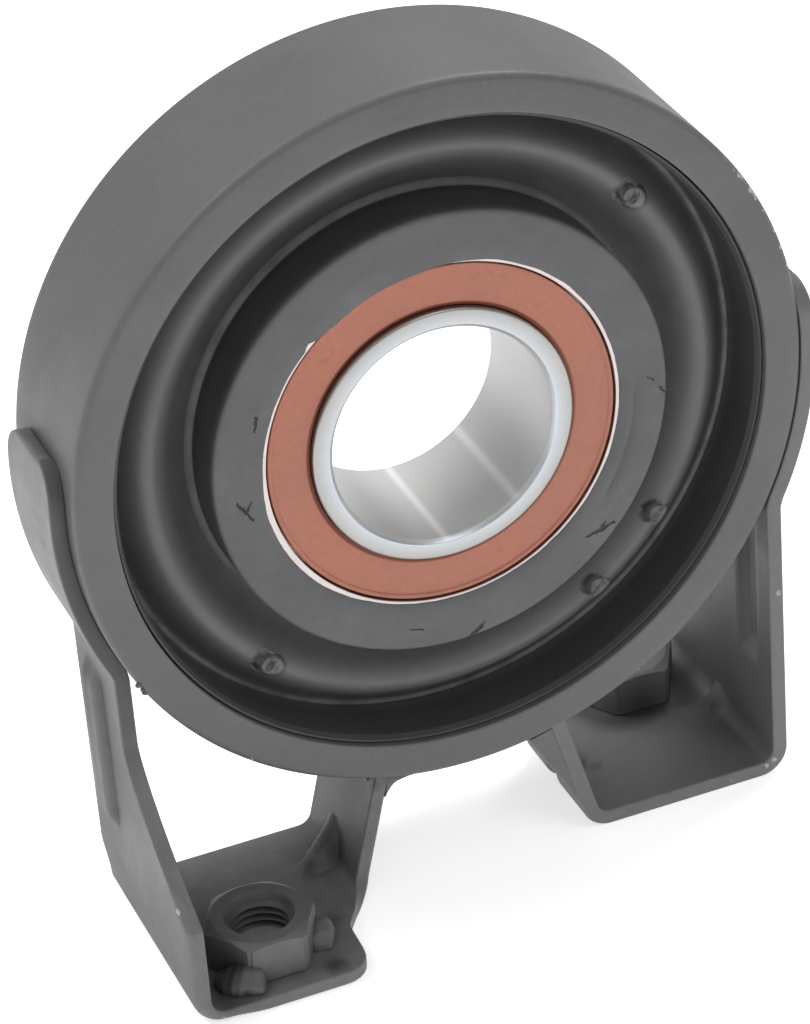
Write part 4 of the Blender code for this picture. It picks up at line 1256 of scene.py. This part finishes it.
def weld_tree():
    """A weld run along a path: a rippled, uneven round bead with tapered ends."""
    tree, given, sockets = new_tree("weld_run", Path="Geometry", Radius="Float", Pitch="Float",
                                    Ripple="Float", Seed="Float", Material="Material")

    def calculate(operation, first, second=0.0):
        return maths(tree, operation, first, second)

    fine = add_node(tree, "GeometryNodeResampleCurve", {"Curve": given["Path"], "Count": 72})
    spline = add_node(tree, "GeometryNodeSplineParameter").outputs
    phase = calculate("MULTIPLY", calculate("DIVIDE", spline["Length"], given["Pitch"]), math.tau)
    wave = calculate("MULTIPLY", calculate("SINE", phase), given["Ripple"])
    ends = calculate("MULTIPLY", spline["Factor"], calculate("SUBTRACT", 1.0, spline["Factor"]))
    taper = calculate("MINIMUM", calculate("POWER", calculate("MULTIPLY", ends, 4.0), 0.5), 1.0)
    swell = calculate("MULTIPLY", calculate("ADD", taper, 0.04), calculate("ADD", wave, 0.96))
    profile = add_node(tree, "GeometryNodeCurvePrimitiveCircle",
                       {"Resolution": 18, "Radius": given["Radius"]})
    swept = add_node(tree, "GeometryNodeCurveToMesh",
                     {"Curve": fine.outputs[0], "Profile Curve": profile.outputs[0], "Scale": swell,
                      "Fill Caps": True})
    place = add_node(tree, "GeometryNodeInputPosition").outputs[0]
    lumps = add_node(tree, "ShaderNodeTexNoise",
                     {"Vector": place, "W": given["Seed"], "Scale": 210.0, "Detail": 3.0},
                     noise_dimensions="4D")
    amount = calculate("MULTIPLY", calculate("SUBTRACT", lumps.outputs["Fac"], 0.55),
                       calculate("MULTIPLY", given["Radius"], 1.1))
    outward = add_node(tree, "GeometryNodeInputNormal").outputs[0]
    push = add_node(tree, "ShaderNodeVectorMath", {0: outward, "Scale": amount}, operation="SCALE")
    bead = add_node(tree, "GeometryNodeSetPosition",
                    {"Geometry": swept.outputs[0], "Offset": push.outputs[0]})
    finish_tree(tree, bead.outputs[0], given["Material"])
    return tree, sockets


def fillet_mesh(settings, side, hand, form, start, end):
    """Fillet weld between a leg and the ring, full at the front and tapered behind.

    The form gives its size along the ring, its size along the leg and how hollow it is.
    """
    on_ring, on_leg, hollow = form
    radius, aside = settings.ring.radius, hand * settings.bracket.sheet / 2
    outward = Vector((math.sin(LEG_ANGLE), -math.cos(LEG_ANGLE)))
    across = Vector((math.cos(LEG_ANGLE), math.sin(LEG_ANGLE)))
    corner = outward * math.sqrt(radius ** 2 - aside ** 2) + across * aside
    first = Matrix.Rotation(hand * on_ring / radius, 2) @ corner
    last = corner + outward * on_leg
    bend = ((first + last) / 2).lerp(corner, hollow)
    inside = corner - outward * 0.0002 - across * aside * 0.2
    stations, steps = 34, 9
    places = []
    for station in range(stations):
        share = station / (stations - 1)
        rear = 1.0 - share if side == "left" else share
        swell = min(1.0, 0.88 + 3.0 * rear, 0.35 + 4.0 * (1.0 - rear))
        swell *= 1.0 + 0.03 * math.sin(station * 1.9)
        along = start + (end - start) * share
        for slide in (step / steps for step in range(steps + 1)):
            bowed = first * (1.0 - slide) ** 2 + bend * 2 * slide * (1.0 - slide) + last * slide ** 2
            point = corner + (bowed - corner) * swell
            rough = 0.00025 * noise.noise(Vector((along * 420.0, slide * 3.0, hand * 7.0 + on_leg * 900.0)))
            point += (point - corner).normalized() * rough
            places.append(to_world(Vector((point.x, along, point.y)), side))
        places.append(to_world(Vector((inside.x, along, inside.y)), side))
    return solid_mesh("fillet", places, strips(stations, steps + 2), 70.0)


# (degrees, distance forward, radius) of each lump
SPATTER = ((-150.4, 0.0146, 0.0006), (-151.3, 0.0150, 0.0004), (-152.4, 0.0151, 0.0005))


def spatter_mesh(ring):
    """Small lumps of weld metal stuck to the ring's edge."""
    shape = bmesh.new()
    for degrees, forward, size in SPATTER:
        place = Matrix.Translation(on_shaft(ring.radius - size * 0.2, forward, degrees))
        bmesh.ops.create_icosphere(shape, subdivisions=3, radius=size, matrix=place)
    for vertex in shape.verts:
        vertex.co += Vector((1.0, 0.5, -0.5)) * (0.0003 * noise.noise(vertex.co * 900.0))
    mesh = plain_mesh(shape, bpy.data.meshes.new("weld_spatter"))
    smooth_out(mesh, 80.0)
    return mesh


def nut_weld_path(settings, side, degrees, length_along):
    """Curve of a short weld run that lies beside a nut and rises a little at its middle."""
    nut, radius = settings.nut, settings.weld.radius
    angle = math.radians(degrees)
    outward = Vector((math.cos(angle), math.sin(angle), 0.0))
    along = Vector((-math.sin(angle), math.cos(angle), 0.0))
    middle = Vector((nut.outboard, nut.forward, settings.bracket.sheet + radius * 0.12 - AXIS.z))
    middle += outward * (nut.across_flats / 2 + radius * 0.45)
    lift = Vector((0.0, 0.0, 0.0006))
    curve = bpy.data.curves.new("nut_weld", "CURVE")
    curve.dimensions = "3D"
    spline = curve.splines.new("POLY")
    steps = 14
    spline.points.add(steps)
    for step, point in enumerate(spline.points):
        share = step / steps - 0.5
        place = to_world(middle + along * (length_along * share) + lift * math.cos(math.pi * share), side)
        point.co = (*place, 1.0)
    return curve


# Name, degrees round the nut, length and thickness against the setting
NUT_WELDS = (("inner", 171.0, 0.0086, 1.0), ("outer", 50.0, 0.0092, 1.15))


class CENTREBEARING_OT_welds(bpy.types.Operator):
    """Add the weld runs at the legs and the nuts"""
    bl_idname = "centre_bearing.welds"
    bl_label = "Weld Runs"

    def execute(self, context):
        settings = context.scene.centre_bearing
        weld = settings.weld
        size = weld.fillet
        paint = bpy.data.materials["bracket_enamel"]
        grower = weld_tree()
        outer = (size, size * 0.8, 0.75)
        # Place, hand, (size on the ring, size on the leg, hollow), start and end across the leg
        fillets = {"left": (("inner", -1, (size * 1.55, size * 1.35, 0.75), 0.0045, 0.0258),
                            ("outer", 1, outer, 0.0055, 0.0235)),
                   "right": (("inner", -1, (size * 1.4, 0.0178, 0.05), 0.0003, 0.0225),
                             ("outer", 1, outer, 0.0025, 0.0210))}
        values = {"Pitch": weld.pitch, "Ripple": weld.ripple, "Material": paint}
        for side, beads in fillets.items():
            for place, *run in beads:
                name = f"{side}_leg_weld_{place}"
                mesh = fillet_mesh(settings, side, *run)
                add_piece(name + "_bead", mesh, paint, HOUSING, "bracket_paint", name)
            for number, (place, turn, run, swell) in enumerate(NUT_WELDS):
                name = f"{side}_nut_weld_{place}"
                values.update(Radius=weld.radius * swell, Seed=float(weld.seed + number))
                mesh = grown_mesh(name + "_bead", grower, values, nut_weld_path(settings, side, turn, run))
                smooth_out(mesh, 80.0)
                add_piece(name + "_bead", mesh, paint, HOUSING, "bracket_paint", name)
        add_piece("weld_spatter", spatter_mesh(settings.ring), paint, HOUSING, "bracket_paint")
        return {"FINISHED"}


# Stage

# Name, place and size of the round lights, which all face the shaft's middle
LIGHTS = (("key", (-0.50, 0.25, 0.90), 0.50), ("top", (0.50, 0.38, 0.95), 0.60),
          ("fill", (0.35, -0.70, 1.00), 0.50), ("front", (-0.55, -0.90, 0.50), 0.70))
FLOOR_REACH = 3.0


def area_light(name, place, size, energy):
    light = bpy.data.lights.new(name, "AREA")
    light.shape = "DISK"
    light.size = size
    light.energy = energy
    item = linked(name, light)
    item.location = place
    item.rotation_euler = (Vector((0.0, 0.0, AXIS.z)) - Vector(place)).to_track_quat("-Z", "Y").to_euler()


class CENTREBEARING_OT_stage(bpy.types.Operator):
    """Add the floor, the lights and the camera"""
    bl_idname = "centre_bearing.stage"
    bl_label = "Stage"

    def execute(self, context):
        scene, stage = context.scene, context.scene.centre_bearing.stage
        mesh = bpy.data.meshes.new("floor")
        corners = [(x * FLOOR_REACH, y * FLOOR_REACH, 0.0) for x, y in ((-1, -1), (1, -1), (1, 1), (-1, 1))]
        mesh.from_pydata(corners, [], [(0, 1, 2, 3)])
        mesh.materials.append(floor_material())
        floor = linked("floor", mesh)
        world = bpy.data.worlds.new("studio")
        world.use_nodes = True
        sky = world.node_tree.nodes["Background"]
        sky.inputs["Color"].default_value = (1.0, 1.0, 1.0, 1.0)
        sky.inputs["Strength"].default_value = stage.sky
        scene.world = world
        for name, place, size in LIGHTS:
            area_light(name + "_light", place, size, getattr(stage, name))
        camera = bpy.data.cameras.new("camera")
        camera.lens = stage.lens
        camera.sensor_width = 36.0
        item = linked("camera", camera)
        item.location = stage.place
        item.rotation_euler = Euler(stage.turn, "XYZ")
        scene.camera = item
        scene.view_settings.view_transform = "Standard"
        return {"FINISHED"}


# Panel and registration

OPERATORS = (CENTREBEARING_OT_ring, CENTREBEARING_OT_rubber, CENTREBEARING_OT_bearing,
             CENTREBEARING_OT_brackets, CENTREBEARING_OT_nuts, CENTREBEARING_OT_welds,
             CENTREBEARING_OT_stage)
GROUPS = (RingSettings, RubberSettings, BearingSettings, BracketSettings, NutSettings, WeldSettings,
          FinishSettings, StageSettings, CentreBearingSettings)


class CENTREBEARING_PT_panel(bpy.types.Panel):
    """Builds the centre bearing's finished pieces"""
    bl_idname = "CENTREBEARING_PT_panel"
    bl_label = "Centre Bearing"
    bl_space_type = "VIEW_3D"
    bl_region_type = "UI"
    bl_category = "Centre Bearing"

    def draw(self, context):
        column = self.layout.column(align=True)
        for operator in OPERATORS:
            column.operator(operator.bl_idname)


def register():
    for item in GROUPS + OPERATORS + (CENTREBEARING_PT_panel,):
        bpy.utils.register_class(item)
    bpy.types.Scene.centre_bearing = PointerProperty(type=CentreBearingSettings)


def unregister():
    del bpy.types.Scene.centre_bearing
    for item in reversed(GROUPS + OPERATORS + (CENTREBEARING_PT_panel,)):
        bpy.utils.unregister_class(item)


def main():
    register()
    bpy.ops.centre_bearing.ring()
    bpy.ops.centre_bearing.rubber()
    bpy.ops.centre_bearing.bearing()
    bpy.ops.centre_bearing.brackets()
    bpy.ops.centre_bearing.nuts()
    bpy.ops.centre_bearing.welds()
    bpy.ops.centre_bearing.stage()


if __name__ == "__main__":
    main()
